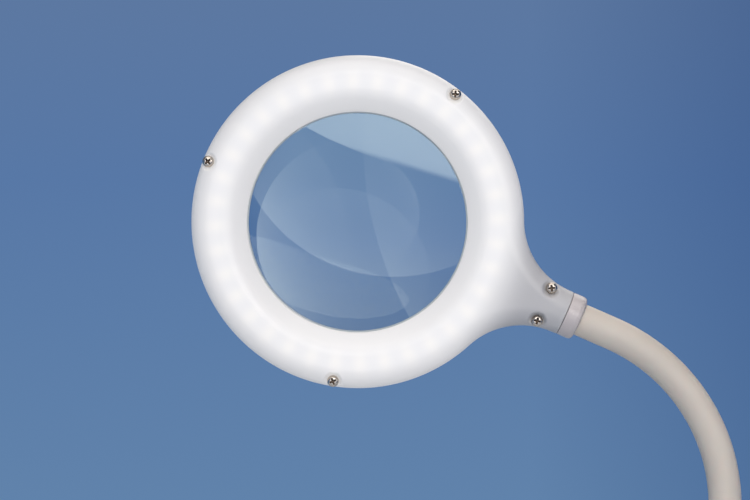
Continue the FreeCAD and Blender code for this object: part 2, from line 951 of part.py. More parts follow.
last_link = new_body(f"neck_link_{1 + STRAIGHT_LINKS + BEND_LINKS}")
last_section = new_sketch(last_link, "XZ")
outline(
    last_section,
    [
        (0, flange_end),
        (neck_radius, flange_end),
        (neck_radius, stem_tip - cup_rim, cup, -1),
        (0, stem_tip - cup),
    ],
)
spin(last_link, last_section)
last_link.Placement = ALONG_STEM

foot_collar = neck_collar("foot_collar", foot_top, foot_top + dim("foot_collar_height"), None)
foot_collar.Placement = Placement(Vector(neck_x, 0, 0), Rotation())

nut_top = dim("foot_boss_bottom") - dim("washer_thickness")
nut_bottom = nut_top - dim("foot_nut_height")
stem_bottom = nut_bottom - dim("fitting_below_nut")
foot_fitting = hollow_fitting(
    "foot_fitting",
    [
        (fitting_bore, stem_bottom),
        (dim("fitting_radius") - dim("fitting_bevel"), stem_bottom),
        (dim("fitting_radius"), stem_bottom + dim("fitting_bevel")),
        (dim("fitting_radius"), foot_top),
        (dim("fitting_flange"), foot_top),
        (dim("fitting_flange"), foot_top + dim("fitting_flange_length")),
        (fitting_bore, foot_top + dim("fitting_flange_length")),
    ],
)
foot_fitting.Placement = Placement(Vector(neck_x, 0, 0), Rotation())

foot_washer = new_body("foot_washer")
washer_ring = new_sketch(foot_washer, "XY", nut_top)
circle(washer_ring, 0, 0, dim("washer_radius"))
circle(washer_ring, 0, 0, dim("fitting_radius") + dim("washer_bore_gap"))
pad(foot_washer, washer_ring, dim("washer_thickness"))
foot_washer.Placement = Placement(Vector(neck_x, 0, 0), Rotation())


def nut(name, flats, bore, level, height):
    """A hexagon nut along Z."""
    body = new_body(name)
    ring = new_sketch(body, "XY", level)
    hexagon(ring, 0, 0, flats)
    circle(ring, 0, 0, bore)
    pad(body, ring, height)
    return body


foot_nut = nut(
    "foot_nut",
    dim("foot_nut_flats"),
    dim("fitting_radius") + dim("thread_gap"),
    nut_bottom,
    dim("foot_nut_height"),
)
foot_nut.Placement = Placement(Vector(neck_x, 0, 0), Rotation())

# ---------------------------------------------------------------- base

BASE_SCREW_ANGLES = (60.0, 180.0, 300.0)
plate_top = dim("pad_thickness") + dim("plate_thickness")
weight_top = plate_top + dim("weight_thickness")
button_x = dim("button_x")


def base_places(z):
    """Placements on the base's screw circle at height z."""
    places = []
    for angle in BASE_SCREW_ANGLES:
        turn = math.radians(angle)
        radius = dim("base_screw_circle").value
        spot = Vector(radius * math.cos(turn), radius * math.sin(turn), z)
        places.append(Placement(spot, Rotation()))
    return places


def base_circles(sketch, radius):
    """A circle of that radius round each of the base's screws."""
    for angle in BASE_SCREW_ANGLES:
        circle(sketch, *polar(dim("base_screw_circle"), angle), radius)


def dome_height(x, inset):
    """The height of the cover's domed top, inset from its outside, at a distance x from the middle."""
    big = dim("base_dome_radius") - inset
    return dim("base_centre_height") - dim("base_dome_radius") + (big * big - x * x).root()


def cover_section(sketch):
    """Half of the cover's section: a side, a rounded shoulder and a shallow dome, of even thickness."""
    wall = dim("base_wall")
    outer = dim("base_radius")
    inner = outer - wall
    shoulder = outer - dim("base_rounding")
    foot = dim("pad_thickness")
    crown = dome_height(shoulder, Size.of(0))
    side = crown - dim("base_rounding")
    inner_crown = dome_height(shoulder, wall)
    small = dim("base_rounding") - wall
    outline(
        sketch,
        [
            (inner, foot),
            (outer, foot),
            (outer, side, dim("base_rounding"), 1),
            (shoulder, crown, dim("base_dome_radius"), 1),
            (0, dim("base_centre_height")),
            (0, dim("base_centre_height") - wall, dim("base_dome_radius") - wall, -1),
            (shoulder, inner_crown, small, -1),
            (inner, inner_crown - small),
        ],
    )


cover = new_body("base_cover")
cover_half = new_sketch(cover, "XZ")
cover_section(cover_half)
spin(cover, cover_half)

foot_pad = new_sketch(cover, "XY", dim("foot_boss_bottom"))
circle(foot_pad, dim("neck_x"), 0, dim("foot_boss"))
foot_block = pad(cover, foot_pad, dim("foot_boss_top") - dim("foot_boss_bottom"))
dress(cover, foot_block, "Fillet", dim("foot_rounding"), at_level(dim("foot_boss_top").value))

foot_seat = new_sketch(cover, "XY", dim("foot_boss_bottom"))
circle(foot_seat, dim("neck_x"), 0, dim("washer_radius") + dim("washer_gap"))
pocket(cover, foot_seat, THROUGH, back=True)

# bosses and posts inside the cover run a little way into its wall
into_wall = dim("base_wall") - dim("boss_sink")
cover_bosses = new_sketch(cover, "XY", plate_top)
base_circles(cover_bosses, dim("base_boss"))
pad(cover, cover_bosses, dome_height(dim("base_screw_circle"), into_wall) - plate_top)
ear_posts = new_sketch(cover, "XY", dim("switch_top"))
for side in (-1, 1):
    circle(ear_posts, button_x, dim("switch_screw_across") * side, dim("switch_post"))
pad(cover, ear_posts, dome_height(button_x, into_wall) - dim("switch_top"))
inlet_pad = new_sketch(cover, "XZ", dim("inlet_boss_face"))
circle(inlet_pad, 0, dim("inlet_height"), dim("inlet_boss"))
pad(cover, inlet_pad, dim("base_radius") - into_wall - dim("inlet_boss_face"))

dish = new_sketch(cover, "XY", dim("button_dish_level"))
circle(dish, button_x, 0, dim("button_dish"))
pocket(cover, dish, THROUGH)
through = new_sketch(cover, "XY", weight_top)
circle(through, button_x, 0, dim("button_radius") + dim("button_gap"))
circle(through, dim("neck_x"), 0, dim("fitting_radius") + dim("washer_bore_gap"))
pocket(cover, through, THROUGH)
pilots = new_sketch(cover, "XY", plate_top)
base_circles(pilots, dim("screw_pilot"))
pocket(cover, pilots, dim("pilot_depth"))
ear_pilots = new_sketch(cover, "XY", dim("switch_top"))
for side in (-1, 1):
    circle(ear_pilots, button_x, dim("switch_screw_across") * side, dim("board_screw_radius"))
pocket(cover, ear_pilots, dim("post_pilot_depth"))
inlet_hole = new_sketch(cover, "XZ", dim("inlet_boss_face") - 1)
circle(inlet_hole, 0, dim("inlet_height"), dim("inlet_radius") + dim("inlet_hole_gap"))
pocket(cover, inlet_hole, THROUGH)
inlet_flat = new_sketch(cover, "XZ", dim("inlet_seat"))
circle(inlet_flat, 0, dim("inlet_height"), dim("inlet_flange") + dim("inlet_flat_gap"))
pocket(cover, inlet_flat, THROUGH)

base_pad = new_body("base_pad")
pad_disc = new_sketch(base_pad)
circle(pad_disc, 0, 0, dim("pad_radius"))
base_circles(pad_disc, dim("screw_head_radius") + dim("pad_hole_gap"))
pad(base_pad, pad_disc, dim("pad_thickness"))

base_plate = new_body("base_plate")
plate_disc = new_sketch(base_plate, "XY", dim("pad_thickness"))
circle(plate_disc, 0, 0, dim("plate_radius"))
base_circles(plate_disc, dim("screw_clearance"))
pad(base_plate, plate_disc, dim("plate_thickness"))

weight = new_body("base_weight")
weight_disc = new_sketch(weight, "XY", plate_top)
circle(weight_disc, 0, 0, dim("weight_radius"))
base_circles(weight_disc, dim("base_boss") + dim("boss_gap"))
circle(weight_disc, dim("neck_x"), 0, dim("weight_opening"))
circle(weight_disc, button_x, 0, dim("weight_opening"))
weight_block = pad(weight, weight_disc, dim("weight_thickness"))
dress(weight, weight_block, "Chamfer", dim("weight_bevel"), at_level(weight_top.value))
inlet_room = new_sketch(weight, "XY", plate_top)
room_width = dim("inlet_room_width")
rectangle(inlet_room, 0, dim("inlet_room_middle"), room_width, dim("inlet_room_depth"))
pocket(weight, inlet_room, dim("weight_thickness"))

under_plate = [place.multiply(FLIP) for place in base_places(dim("pad_thickness").value)]
short_screw = screw(
    "short_screw",
    dim("screw_radius"),
    dim("screw_head_radius"),
    dim("pad_thickness") - dim("boss_gap"),
    dim("screw_length"),
    recess=False,
)
doc.recompute()
group("base_screws", short_screw.Shape, under_plate)

# ---------------------------------------------------------------- push button

button_place = Placement(Vector(button_x.value, 0, 0), Rotation())
flange_edge = button_x - dim("button_flange")
cap_flange_top = dome_height(flange_edge, dim("base_wall")) - dim("button_flange_gap")
cap_flange_bottom = cap_flange_top - dim("button_flange_thickness")
cap_shoulder = dim("button_top") - dim("button_rounding")
switch_top = dim("switch_top")
plunger_end = switch_top - dim("button_plunger")
plunger_floor = plunger_end - dim("button_travel") - dim("button_overtravel")
button = new_body("switch_button")
button_section = new_sketch(button, "XZ")
outline(
    button_section,
    [
        (0, plunger_end),
        (dim("button_stem"), plunger_end),
        (dim("button_stem"), cap_flange_bottom),
        (dim("button_flange"), cap_flange_bottom),
        (dim("button_flange"), cap_flange_top),
        (dim("button_radius"), cap_flange_top),
        (dim("button_radius"), cap_shoulder, dim("button_rounding"), 1),
        (dim("button_radius") - dim("button_rounding"), dim("button_top")),
        (0, dim("button_top")),
    ],
)
spin(button, button_section)
button.Placement = button_place

switch = new_body("switch_body")
spring_seat = switch_top - dim("spring_pocket")
switch_section = new_sketch(switch, "XZ")
spring_wall = dim("spring_radius") + dim("spring_room")
plunger_wall = dim("button_stem") + dim("button_stem_gap")
outline(
    switch_section,
    [
        (0, dim("switch_bottom")),
        (dim("switch_radius"), dim("switch_bottom")),
        (dim("switch_radius"), switch_top),
        (spring_wall, switch_top),
        (spring_wall, spring_seat),
        (plunger_wall, spring_seat),
        (plunger_wall, plunger_floor),
        (0, plunger_floor),
    ],
)
spin(switch, switch_section)
ear_inner = dim("switch_radius") - dim("boss_sink")
ears = new_sketch(switch, "XY", switch_top - dim("switch_ear_thickness"))
for side in (-1, 1):
    ear_middle = (ear_inner + dim("switch_ear")) / 2 * side
    rectangle(ears, 0, ear_middle, dim("switch_ear_half") * 2, dim("switch_ear") - ear_inner)
    hole = dim("board_screw_radius") + dim("board_hole_gap")
    circle(ears, 0, dim("switch_screw_across") * side, hole)
pad(switch, ears, dim("switch_ear_thickness"))
switch.Placement = button_place
ear_bottom = (switch_top - dim("switch_ear_thickness")).value
ear_spots = [
    Placement(Vector(button_x.value, side * dim("switch_screw_across").value, ear_bottom), Rotation())
    for side in (-1, 1)
]
group("switch_screws", board_screw.Shape, [spot.multiply(FLIP) for spot in ear_spots])

wire = dim("spring_wire").value
coil_ends = wire + dim("seat_gap").value
coil_low = spring_seat.value + coil_ends
coil_height = cap_flange_bottom.value - coil_ends - coil_low
coil_radius = dim("spring_radius").value
COIL_TURNS = 4
coil = Part.makeHelix(coil_height / COIL_TURNS, coil_height, coil_radius)
coil_section = Part.Wire(Part.Circle(Vector(coil_radius, 0, 0), Vector(0, 1, 0), wire).toShape())
spring = doc.addObject("Part::Feature", "switch_spring")
spring.Label = "switch_spring"
spring.Shape = Part.Wire(coil.Edges).makePipeShell([coil_section], True, True)
spring.Placement = Placement(Vector(button_x.value, 0, coil_low), Rotation())

# ---------------------------------------------------------------- low-voltage inlet

# drawn along Z, then turned so that its mouth faces +Y, the back of the base
inlet_place = Placement(Vector(0, 0, dim("inlet_height").value), Rotation(Vector(1, 0, 0), -90))
inlet_mouth = dim("inlet_seat") + dim("inlet_flange_length")
inlet_back = inlet_mouth - dim("inlet_length")
bore_floor = inlet_mouth - dim("inlet_depth")
pin_end = inlet_mouth - dim("inlet_pin_recess")
inlet = hollow_fitting(
    "dc_inlet",
    [
        (0, inlet_back),
        (dim("inlet_radius"), inlet_back),
        (dim("inlet_radius"), dim("inlet_seat")),
        (dim("inlet_flange"), dim("inlet_seat")),
        (dim("inlet_flange"), inlet_mouth),
        (dim("inlet_bore"), inlet_mouth),
        (dim("inlet_bore"), bore_floor),
        (dim("inlet_pin"), bore_floor),
        (dim("inlet_pin"), pin_end),
        (0, pin_end),
    ],
)
inlet.Placement = inlet_place
inlet_nut = nut(
    "dc_inlet_nut",
    dim("inlet_nut_flats"),
    dim("inlet_radius") + dim("thread_gap"),
    dim("inlet_boss_face") - dim("inlet_nut_height"),
    dim("inlet_nut_height"),
)
inlet_nut.Placement = inlet_place

# ---------------------------------------------------------------- wires inside the casings


def wires(name, routes, bend, place=Placement()):
    """One node of insulated wires, each along its own route."""
    feature = doc.addObject("Part::Feature", name)
    feature.Label = name
    radius = dim("wire_radius").value
    feature.Shape = Part.makeCompound([tube(route, radius, bend) for route in routes])
    feature.Placement = place
    return feature


fitting_end = (flange_start - dim("fitting_tail")).value
board_under = dim("board_level").value
lead_y = dim("lead_half_spacing").value
lead_z = -dim("head_lead_drop").value
lead_start = fitting_end + dim("head_lead_in_fitting").value
slant_start = fitting_end - dim("head_lead_straight").value
slant_end = slant_start - dim("head_lead_slant").value
lead_end = slant_end - dim("head_lead_run").value
wires(
    "head_leads",
    [
        [
            Vector(lead_start, y, 0),
            Vector(slant_start, y, 0),
            Vector(slant_end, y, lead_z),
            Vector(lead_end, y, lead_z),
            Vector(lead_end, y, board_under),
        ]
        for y in (-lead_y, lead_y)
    ],
    dim("head_lead_bend").value,
    head_place,
)

run = (weight_top + dim("base_lead_over_weight")).value
low = (plate_top + dim("base_lead_over_plate")).value
into_fitting = (foot_top - dim("base_lead_below_foot")).value
foot_side = neck_x - dim("base_lead_from_neck").value
inlet_z = dim("inlet_height").value
back = inlet_back.value
inlet_turn = back - dim("base_lead_from_inlet").value
switch_radius = dim("switch_radius").value
switch_side = button_x.value + switch_radius + dim("base_lead_from_switch").value


def into_foot(side):
    """The last stretch of a wire: down beside the foot nut and up into the fitting."""
    y = dim("base_lead_half_spacing").value * side
    away = dim("base_lead_spread").value * side
    return [
        Vector(foot_side, away, run),
        Vector(foot_side, away, low),
        Vector(neck_x, y, low),
        Vector(neck_x, y, into_fitting),
    ]


def from_inlet(x):
    """The first stretch of a wire: out of the inlet and up over the weight."""
    return [Vector(x, back, inlet_z), Vector(x, inlet_turn, inlet_z), Vector(x, inlet_turn, run)]


def beside_switch(y, z):
    """Where a wire meets the side of the switch, from the switch outward."""
    nearest = max(abs(y) - dim("wire_radius").value, 0)
    meeting = math.sqrt(switch_radius**2 - nearest**2) + button_x.value
    return [Vector(meeting, y, z), Vector(switch_side, y, z), Vector(switch_side, y, run)]


upper_tag = beside_switch(0, dim("switch_tag_upper").value)
lower_tag = beside_switch(-dim("switch_tag_offset").value, dim("switch_tag_lower").value)
wires(
    "base_leads",
    [
        from_inlet(-lead_y) + upper_tag[::-1],
        from_inlet(lead_y) + into_foot(1),
        lower_tag + into_foot(-1),
    ],
    dim("base_lead_bend").value,
)

# ---------------------------------------------------------------- checks and files

NODES = [
    "front_shell",
    "rear_shell",
    "magnifier_lens",
    "lens_gasket",
    "led_board",
    "leds",
    "led_resistors",
    "board_screws",
    "rim_screws",
    "neck_screws",
    "neck_collar",
    "neck_fitting",
    "head_leads",
    *[f"neck_link_{k}" for k in range(2 + STRAIGHT_LINKS + BEND_LINKS)],
    "foot_collar",
    "foot_fitting",
    "foot_washer",
    "foot_nut",
    "base_cover",
    "base_weight",
    "base_plate",
    "base_pad",
    "base_screws",
    "switch_body",
    "switch_button",
    "switch_spring",
    "switch_screws",
    "dc_inlet",
    "dc_inlet_nut",
    "base_leads",
]

doc.recompute()
for feature in doc.Objects:
    if "Invalid" in feature.State or "Error" in feature.State:
        raise RuntimeError(f"{feature.Name} failed: {feature.getStatusString()}")
for name in NODES:
    shape = doc.getObject(name).Shape
    if shape.isNull() or not shape.isValid() or shape.Volume <= 0:
        raise RuntimeError(f"{name} has no valid shape")
for name in NODES:
    doc.getObject(name).Shape.exportStep(f"parts/{name}.step")
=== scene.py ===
"""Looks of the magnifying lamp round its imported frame. Metres; the head's lit side faces -Y."""

import json
import math

import bmesh
import bpy
from mathutils import Matrix, Vector

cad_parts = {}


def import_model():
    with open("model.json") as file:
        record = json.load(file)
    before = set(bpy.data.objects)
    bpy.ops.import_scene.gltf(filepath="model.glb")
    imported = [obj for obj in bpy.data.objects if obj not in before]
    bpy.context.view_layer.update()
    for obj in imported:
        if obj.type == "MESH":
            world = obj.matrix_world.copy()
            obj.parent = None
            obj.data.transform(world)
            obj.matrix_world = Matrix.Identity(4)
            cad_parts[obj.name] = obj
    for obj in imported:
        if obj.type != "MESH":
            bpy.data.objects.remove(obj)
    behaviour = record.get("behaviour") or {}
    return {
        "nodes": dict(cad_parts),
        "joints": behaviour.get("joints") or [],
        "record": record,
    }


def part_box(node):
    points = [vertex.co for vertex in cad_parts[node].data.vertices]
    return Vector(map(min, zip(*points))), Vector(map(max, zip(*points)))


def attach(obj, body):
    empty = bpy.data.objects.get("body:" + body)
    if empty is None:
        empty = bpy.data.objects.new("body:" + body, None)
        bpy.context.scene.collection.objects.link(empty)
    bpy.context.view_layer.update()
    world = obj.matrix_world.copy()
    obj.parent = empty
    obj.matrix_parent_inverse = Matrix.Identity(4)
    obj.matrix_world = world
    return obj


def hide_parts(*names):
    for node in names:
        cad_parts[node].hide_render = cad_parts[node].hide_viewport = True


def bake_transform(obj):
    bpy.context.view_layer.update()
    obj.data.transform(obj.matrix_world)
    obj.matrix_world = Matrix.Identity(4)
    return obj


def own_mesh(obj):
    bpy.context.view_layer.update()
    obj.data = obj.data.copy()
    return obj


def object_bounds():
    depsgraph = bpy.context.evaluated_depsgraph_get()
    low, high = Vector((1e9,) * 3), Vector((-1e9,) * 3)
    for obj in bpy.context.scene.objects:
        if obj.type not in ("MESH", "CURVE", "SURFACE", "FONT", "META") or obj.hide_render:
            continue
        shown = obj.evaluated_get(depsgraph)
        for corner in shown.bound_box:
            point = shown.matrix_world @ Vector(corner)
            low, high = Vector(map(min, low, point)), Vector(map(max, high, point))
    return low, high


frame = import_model()
cad_low, cad_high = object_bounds()
MM = 0.001

# ---------------------------------------------------------------- places taken from the frame

neck_joints = [joint for joint in frame["joints"] if joint["name"].startswith("neck_")]
pivots = [Vector(joint["pos_m"]) for joint in neck_joints]


def middle(node):
    low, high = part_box(node)
    return (low + high) / 2


lens_centre = middle("magnifier_lens")
STEM = (pivots[-1] - lens_centre).normalized()
FRONT = Vector((0, -1, 0))
ACROSS = FRONT.cross(STEM)
# the head's own frame: x from the lens to the neck, y across the stem, z out of the lit side
HEAD = Matrix.Translation(lens_centre) @ Matrix((STEM, ACROSS, FRONT)).transposed().to_4x4()
BACK_HALF = HEAD @ Matrix.Diagonal((1, 1, -1, 1))

# ---------------------------------------------------------------- sizes of the head

HEAD_RADIUS = 75.0 * MM
# from the middle plane of the head to its face
SHELL_HEIGHT = -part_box("front_shell")[0].y
ROUNDING = 9.0 * MM
SHELL_WALL = 1.6 * MM
STEM_HALF = 10.1 * MM
STEM_LENGTH = 102.0 * MM
STEM_BLEND = 34.5 * MM
# the cone runs from the ring's face down to a lip round the lens
CONE_TOP = 56.8 * MM
CONE_FOOT = 49.6 * MM
LIP_TOP = 2.62 * MM
LIP_FOOT = 1.62 * MM
CONE_ROUNDING = 9.0 * MM
SCREW_SEAT = 5.8 * MM
RIM_SCREW_CIRCLE = 72.2 * MM
# degrees from the stem, toward the upper side
RIM_SCREW_ANGLES = (76.0, 181.4, -75.0)
NECK_SCREWS = ((91.6 * MM, 8.0 * MM), (91.6 * MM, -8.0 * MM))
DISH_RADIUS = 3.9 * MM
DISH_SLOPE = 1.0 * MM
LIGHT_CIRCLE = 63.1 * MM
LIGHT_COUNT = 36
COLLAR_LENGTH = 7.2 * MM
NECK_RADIUS = 7.35 * MM

# ---------------------------------------------------------------- materials

# the part of a noise texture's 0 to 1 where nearly all of its values lie
NOISE_LOW = 0.35
NOISE_HIGH = 0.65


class Graph:
    """A material's node graph; inputs may be numbers, colours or the outputs of other nodes."""

    def __init__(self, name):
        self.material = bpy.data.materials.new(name)
        self.material.use_nodes = True
        self.tree = self.material.node_tree
        self.shader = self.tree.nodes["Principled BSDF"]

    def feed(self, socket, value):
        if isinstance(value, bpy.types.NodeSocket):
            self.tree.links.new(value, socket)
        elif value is not None:
            socket.default_value = value

    def node(self, kind, inputs=None, **settings):
        made = self.tree.nodes.new(f"ShaderNode{kind}")
        for key, value in settings.items():
            setattr(made, key, value)
        for key, value in (inputs or {}).items():
            self.feed(made.inputs[key], value)
        return made

    def math(self, operation, a, b=None, clamp=False):
        made = self.node("Math", operation=operation, use_clamp=clamp)
        self.feed(made.inputs[0], a)
        self.feed(made.inputs[1], b)
        return made.outputs[0]

    def position(self):
        return self.node("TexCoord").outputs["Object"]

    def from_lens(self, way):
        """How far a point lies from the lens's centre in a direction."""
        inputs = {0: self.position(), 1: lens_centre}
        offset = self.node("VectorMath", inputs, operation="SUBTRACT").outputs[0]
        inputs = {0: offset, 1: way}
        return self.node("VectorMath", inputs, operation="DOT_PRODUCT").outputs["Value"]

    def noise(self, scale, detail=3.0, roughness=0.5, stretch=None):
        where = self.position()
        if stretch:
            where = self.node("Mapping", {"Vector": where, "Scale": stretch}).outputs[0]
        inputs = {"Vector": where, "Scale": scale, "Detail": detail, "Roughness": roughness}
        return self.node("TexNoise", inputs).outputs["Fac"]

    def between(self, value, low, high, from_low=NOISE_LOW, from_high=NOISE_HIGH):
        """value, from from_low to from_high, made to run from low to high."""
        inputs = {0: value, 1: from_low, 2: from_high, 3: low, 4: high}
        return self.node("MapRange", inputs).outputs[0]

    def mix(self, share, first, second):
        made = self.node("Mix", data_type="RGBA")
        self.feed(made.inputs[0], share)
        self.feed(made.inputs[6], first)
        self.feed(made.inputs[7], second)
        return made.outputs[2]

    def bump(self, height, strength, distance, onto=None):
        inputs = {"Height": height, "Strength": strength, "Distance": distance, "Normal": onto}
        return self.node("Bump", inputs).outputs[0]

    def set(self, **inputs):
        for key, value in inputs.items():
            self.feed(self.shader.inputs[key.replace("_", " ")], value)
        return self.material


def rgb(red, green, blue):
    return (red, green, blue, 1.0)


def shaded(colour, factor):
    return (colour[0] * factor, colour[1] * factor, colour[2] * factor, 1.0)


def moulded(name, colour, roughness, grain=0.02, scale=900.0, coat=0.0, glow=None):
    """Moulded plastic: a faint flow pattern, a fine skin texture and slightly uneven gloss."""
    flow_scale = 14.0
    gloss_scale = 55.0
    grain_depth = 0.2 * MM
    g = Graph(name)
    flow = g.noise(flow_scale, 2.0)
    tint = g.mix(g.between(flow, 0, 1), shaded(colour, 0.975), shaded(colour, 1.015))
    skin = g.noise(scale, 2.0)
    gloss = g.between(g.noise(gloss_scale, 4.0), roughness * 0.88, roughness * 1.14)
    normal = g.bump(skin, grain, grain_depth)
    g.set(Base_Color=tint, Roughness=gloss, Normal=normal, Coat_Weight=coat)
    if glow:
        glow(g)
    return g.material


# emission of the lit ring: all over it, over the circle of lights, and over each light
GLOW_OVERALL = 0.23
GLOW_BAND = 0.18
GLOW_CIRCLE = 0.03
GLOW_SPOT = 0.05
# distances from the lens's centre over which the glow fades, outward and along the stem
GLOW_EDGE = (73.0 * MM, 90.0 * MM)
GLOW_STEM = (64.0 * MM, 84.0 * MM)
# how wide each of these is, inward and outward of the circle of lights
BAND_WIDTH = (15.0 * MM, 7.0 * MM)
CIRCLE_WIDTH = (4.0 * MM, 5.0 * MM)
SPOT_WIDTH = (3.2 * MM, 3.6 * MM)
GLOW_WHITE = rgb(1.0, 0.985, 0.965)
SPOT_WHITE = rgb(1.0, 0.965, 0.90)


def ring_glow(g):
    """Light through the front shell: a broad ring, brighter over each light, none at the stem."""
    along = g.from_lens(STEM)
    across = g.from_lens(ACROSS)
    squares = g.math("ADD", g.math("MULTIPLY", along, along), g.math("MULTIPLY", across, across))
    radius = g.math("SQRT", squares)
    angle = g.math("ARCTAN2", across, along)

    gap = g.math("SUBTRACT", radius, LIGHT_CIRCLE)

    def hump(inner, outer):
        """A bell curve over the circle of lights, with its own width on each side of it."""
        beyond = g.math("GREATER_THAN", gap, 0.0)
        width = g.math("ADD", g.math("MULTIPLY", beyond, outer - inner), inner)
        share = g.math("DIVIDE", gap, width)
        return g.math("EXPONENT", g.math("MULTIPLY", g.math("MULTIPLY", share, share), -0.5))

    ripple = g.math("COSINE", g.math("MULTIPLY", angle, float(LIGHT_COUNT)))
    spot_sharpness = 1.3
    spot = g.math("POWER", g.between(ripple, 1.0, 0.0, -1.0, 1.0), spot_sharpness)
    spots = g.math("MULTIPLY", spot, hump(*SPOT_WIDTH))
    before_stem = g.between(along, 1.0, 0.0, *GLOW_STEM)
    glow = g.math("MULTIPLY", g.between(radius, GLOW_OVERALL, 0.0, *GLOW_EDGE), before_stem)
    for layer, strength in (
        (hump(*CIRCLE_WIDTH), GLOW_CIRCLE),
        (hump(*BAND_WIDTH), GLOW_BAND),
        (spots, GLOW_SPOT),
    ):
        glow = g.math("ADD", glow, g.math("MULTIPLY", layer, strength))
    colour = g.mix(spots, GLOW_WHITE, SPOT_WHITE)
    g.set(Emission_Color=colour, Emission_Strength=glow)


def metal(name, colour, roughness, scale=400.0, stretch=None, uneven=0.25):
    """Plated or drawn metal with uneven gloss and fine handling marks."""
    patch_scale = 120.0
    mark_depth = 0.05 * MM
    g = Graph(name)
    patches = g.noise(patch_scale, 3.0)
    tint = g.mix(g.between(patches, 0, 1), shaded(colour, 0.86), colour)
    marks = g.noise(scale, 3.0, stretch=stretch)
    gloss = g.between(marks, roughness * (1 - uneven), roughness * (1 + uneven))
    normal = g.bump(marks, 0.08, mark_depth)
    return g.set(Base_Color=tint, Metallic=1.0, Roughness=gloss, Normal=normal)


# how the lens's coat tints and dims what each face reflects
FRONT_COAT = rgb(0.88, 1.0, 0.93)
BACK_COAT = rgb(0.22, 0.25, 0.23)
# how near the lens's middle plane the one coat turns into the other
COAT_BLEND = 0.5 * MM


def lens_glass():
    """Clear glass, faintly green, with slight wipe marks and a coat that dims its back face."""
    g = Graph("lens_glass")
    out = g.from_lens(FRONT)
    coat = g.mix(g.between(out, 0.0, 1.0, -COAT_BLEND, COAT_BLEND), BACK_COAT, FRONT_COAT)
    wipe_scale = 26.0
    wipe = g.noise(wipe_scale, 5.0, 0.6, stretch=(1.0, 1.0, 3.0))
    tint = g.mix(g.between(wipe, 0, 1), rgb(0.975, 0.982, 0.958), rgb(0.99, 0.992, 0.972))
    g.set(Base_Color=tint, Specular_Tint=coat, Roughness=0.0)
    return g.set(IOR=1.66, Transmission_Weight=1.0)


def sleeve():
    """The neck's soft cream sleeve, faintly uneven over the coil inside it."""
    g = Graph("neck_sleeve")
    cream = rgb(0.61, 0.537, 0.458)
    clouds, sheen, pores, waves = 22.0, 160.0, 1500.0, 60.0
    tint = g.mix(g.between(g.noise(clouds, 3.0), 0, 1), shaded(cream, 0.95), shaded(cream, 1.03))
    gloss = g.between(g.noise(sheen, 3.0), 0.40, 0.52)
    skin = g.bump(g.noise(pores, 2.0), 0.05, 0.1 * MM)
    normal = g.bump(g.noise(waves, 1.0), 0.12, 0.4 * MM, onto=skin)
    g.set(Base_Color=tint, Roughness=gloss, Normal=normal, Subsurface_Weight=0.08)
    return g.set(Subsurface_Scale=2.0 * MM)


def foam():
    """Closed-cell foam."""
    g = Graph("pad_foam")
    cell_scale = 1400.0
    cells = g.node("TexVoronoi", {"Vector": g.position(), "Scale": cell_scale}).outputs["Distance"]
    dark, light = rgb(0.018, 0.018, 0.020), rgb(0.055, 0.055, 0.058)
    tint = g.mix(g.between(cells, 0, 1, 0.0, 0.6), dark, light)
    return g.set(Base_Color=tint, Roughness=0.88, Normal=g.bump(cells, 0.35, 0.3 * MM))


def casting():
    """Black-painted cast iron."""
    g = Graph("weight_iron")
    sand_scale = 320.0
    sand = g.noise(sand_scale, 5.0, 0.65)
    tint = g.mix(g.between(sand, 0, 1), rgb(0.02, 0.02, 0.021), rgb(0.06, 0.06, 0.06))
    return g.set(Base_Color=tint, Roughness=0.62, Normal=g.bump(sand, 0.45, 0.6 * MM))


WHITE = rgb(0.62, 0.615, 0.61)
MATERIALS = {
    "diffuser": moulded("diffuser", rgb(0.468, 0.452, 0.450), 0.36, 0.02, 1100.0, glow=ring_glow),
    "shell_white": moulded("shell_white", WHITE, 0.34, 0.03),
    "collar_white": moulded("collar_white", rgb(0.52, 0.465, 0.45), 0.26, 0.015, 1200.0, coat=0.15),
    "lens_glass": lens_glass(),
    "gasket": moulded("gasket", rgb(0.36, 0.40, 0.42), 0.45, 0.05),
    "board": moulded("board", rgb(0.78, 0.80, 0.78), 0.42, 0.05, 500.0),
    "led": moulded("led", rgb(0.90, 0.84, 0.52), 0.25, 0.02),
    "resistor": moulded("resistor", rgb(0.015, 0.015, 0.018), 0.4, 0.06),
    "screw_steel": metal("screw_steel", rgb(0.60, 0.53, 0.46), 0.24),
    "plated_steel": metal("plated_steel", rgb(0.62, 0.62, 0.61), 0.32),
    "spring_steel": metal("spring_steel", rgb(0.50, 0.50, 0.51), 0.28),
    "plate_steel": moulded("plate_steel", rgb(0.05, 0.05, 0.053), 0.45, 0.12, 420.0),
    "weight_iron": casting(),
    "pad_foam": foam(),
    "neck_sleeve": sleeve(),
    "switch_black": moulded("switch_black", rgb(0.025, 0.025, 0.028), 0.5, 0.08),
    "button_white": moulded("button_white", rgb(0.66, 0.665, 0.68), 0.38, 0.03),
    "inlet_black": moulded("inlet_black", rgb(0.022, 0.022, 0.025), 0.42, 0.06),
    "wire": moulded("wire", rgb(0.55, 0.035, 0.03), 0.45, 0.03),
}

# painted shade: a dark brown steel for the faces deep in the screws' cross recesses
RECESS_SHADE = metal("screw_recess_shade", rgb(0.16, 0.115, 0.085), 0.5)

for entry in frame["record"]["subparts"]:
    mesh = frame["nodes"][entry["node"]].data
    mesh.materials.clear()
    mesh.materials.append(MATERIALS[entry["material_slot"]])

# ---------------------------------------------------------------- mesh helpers


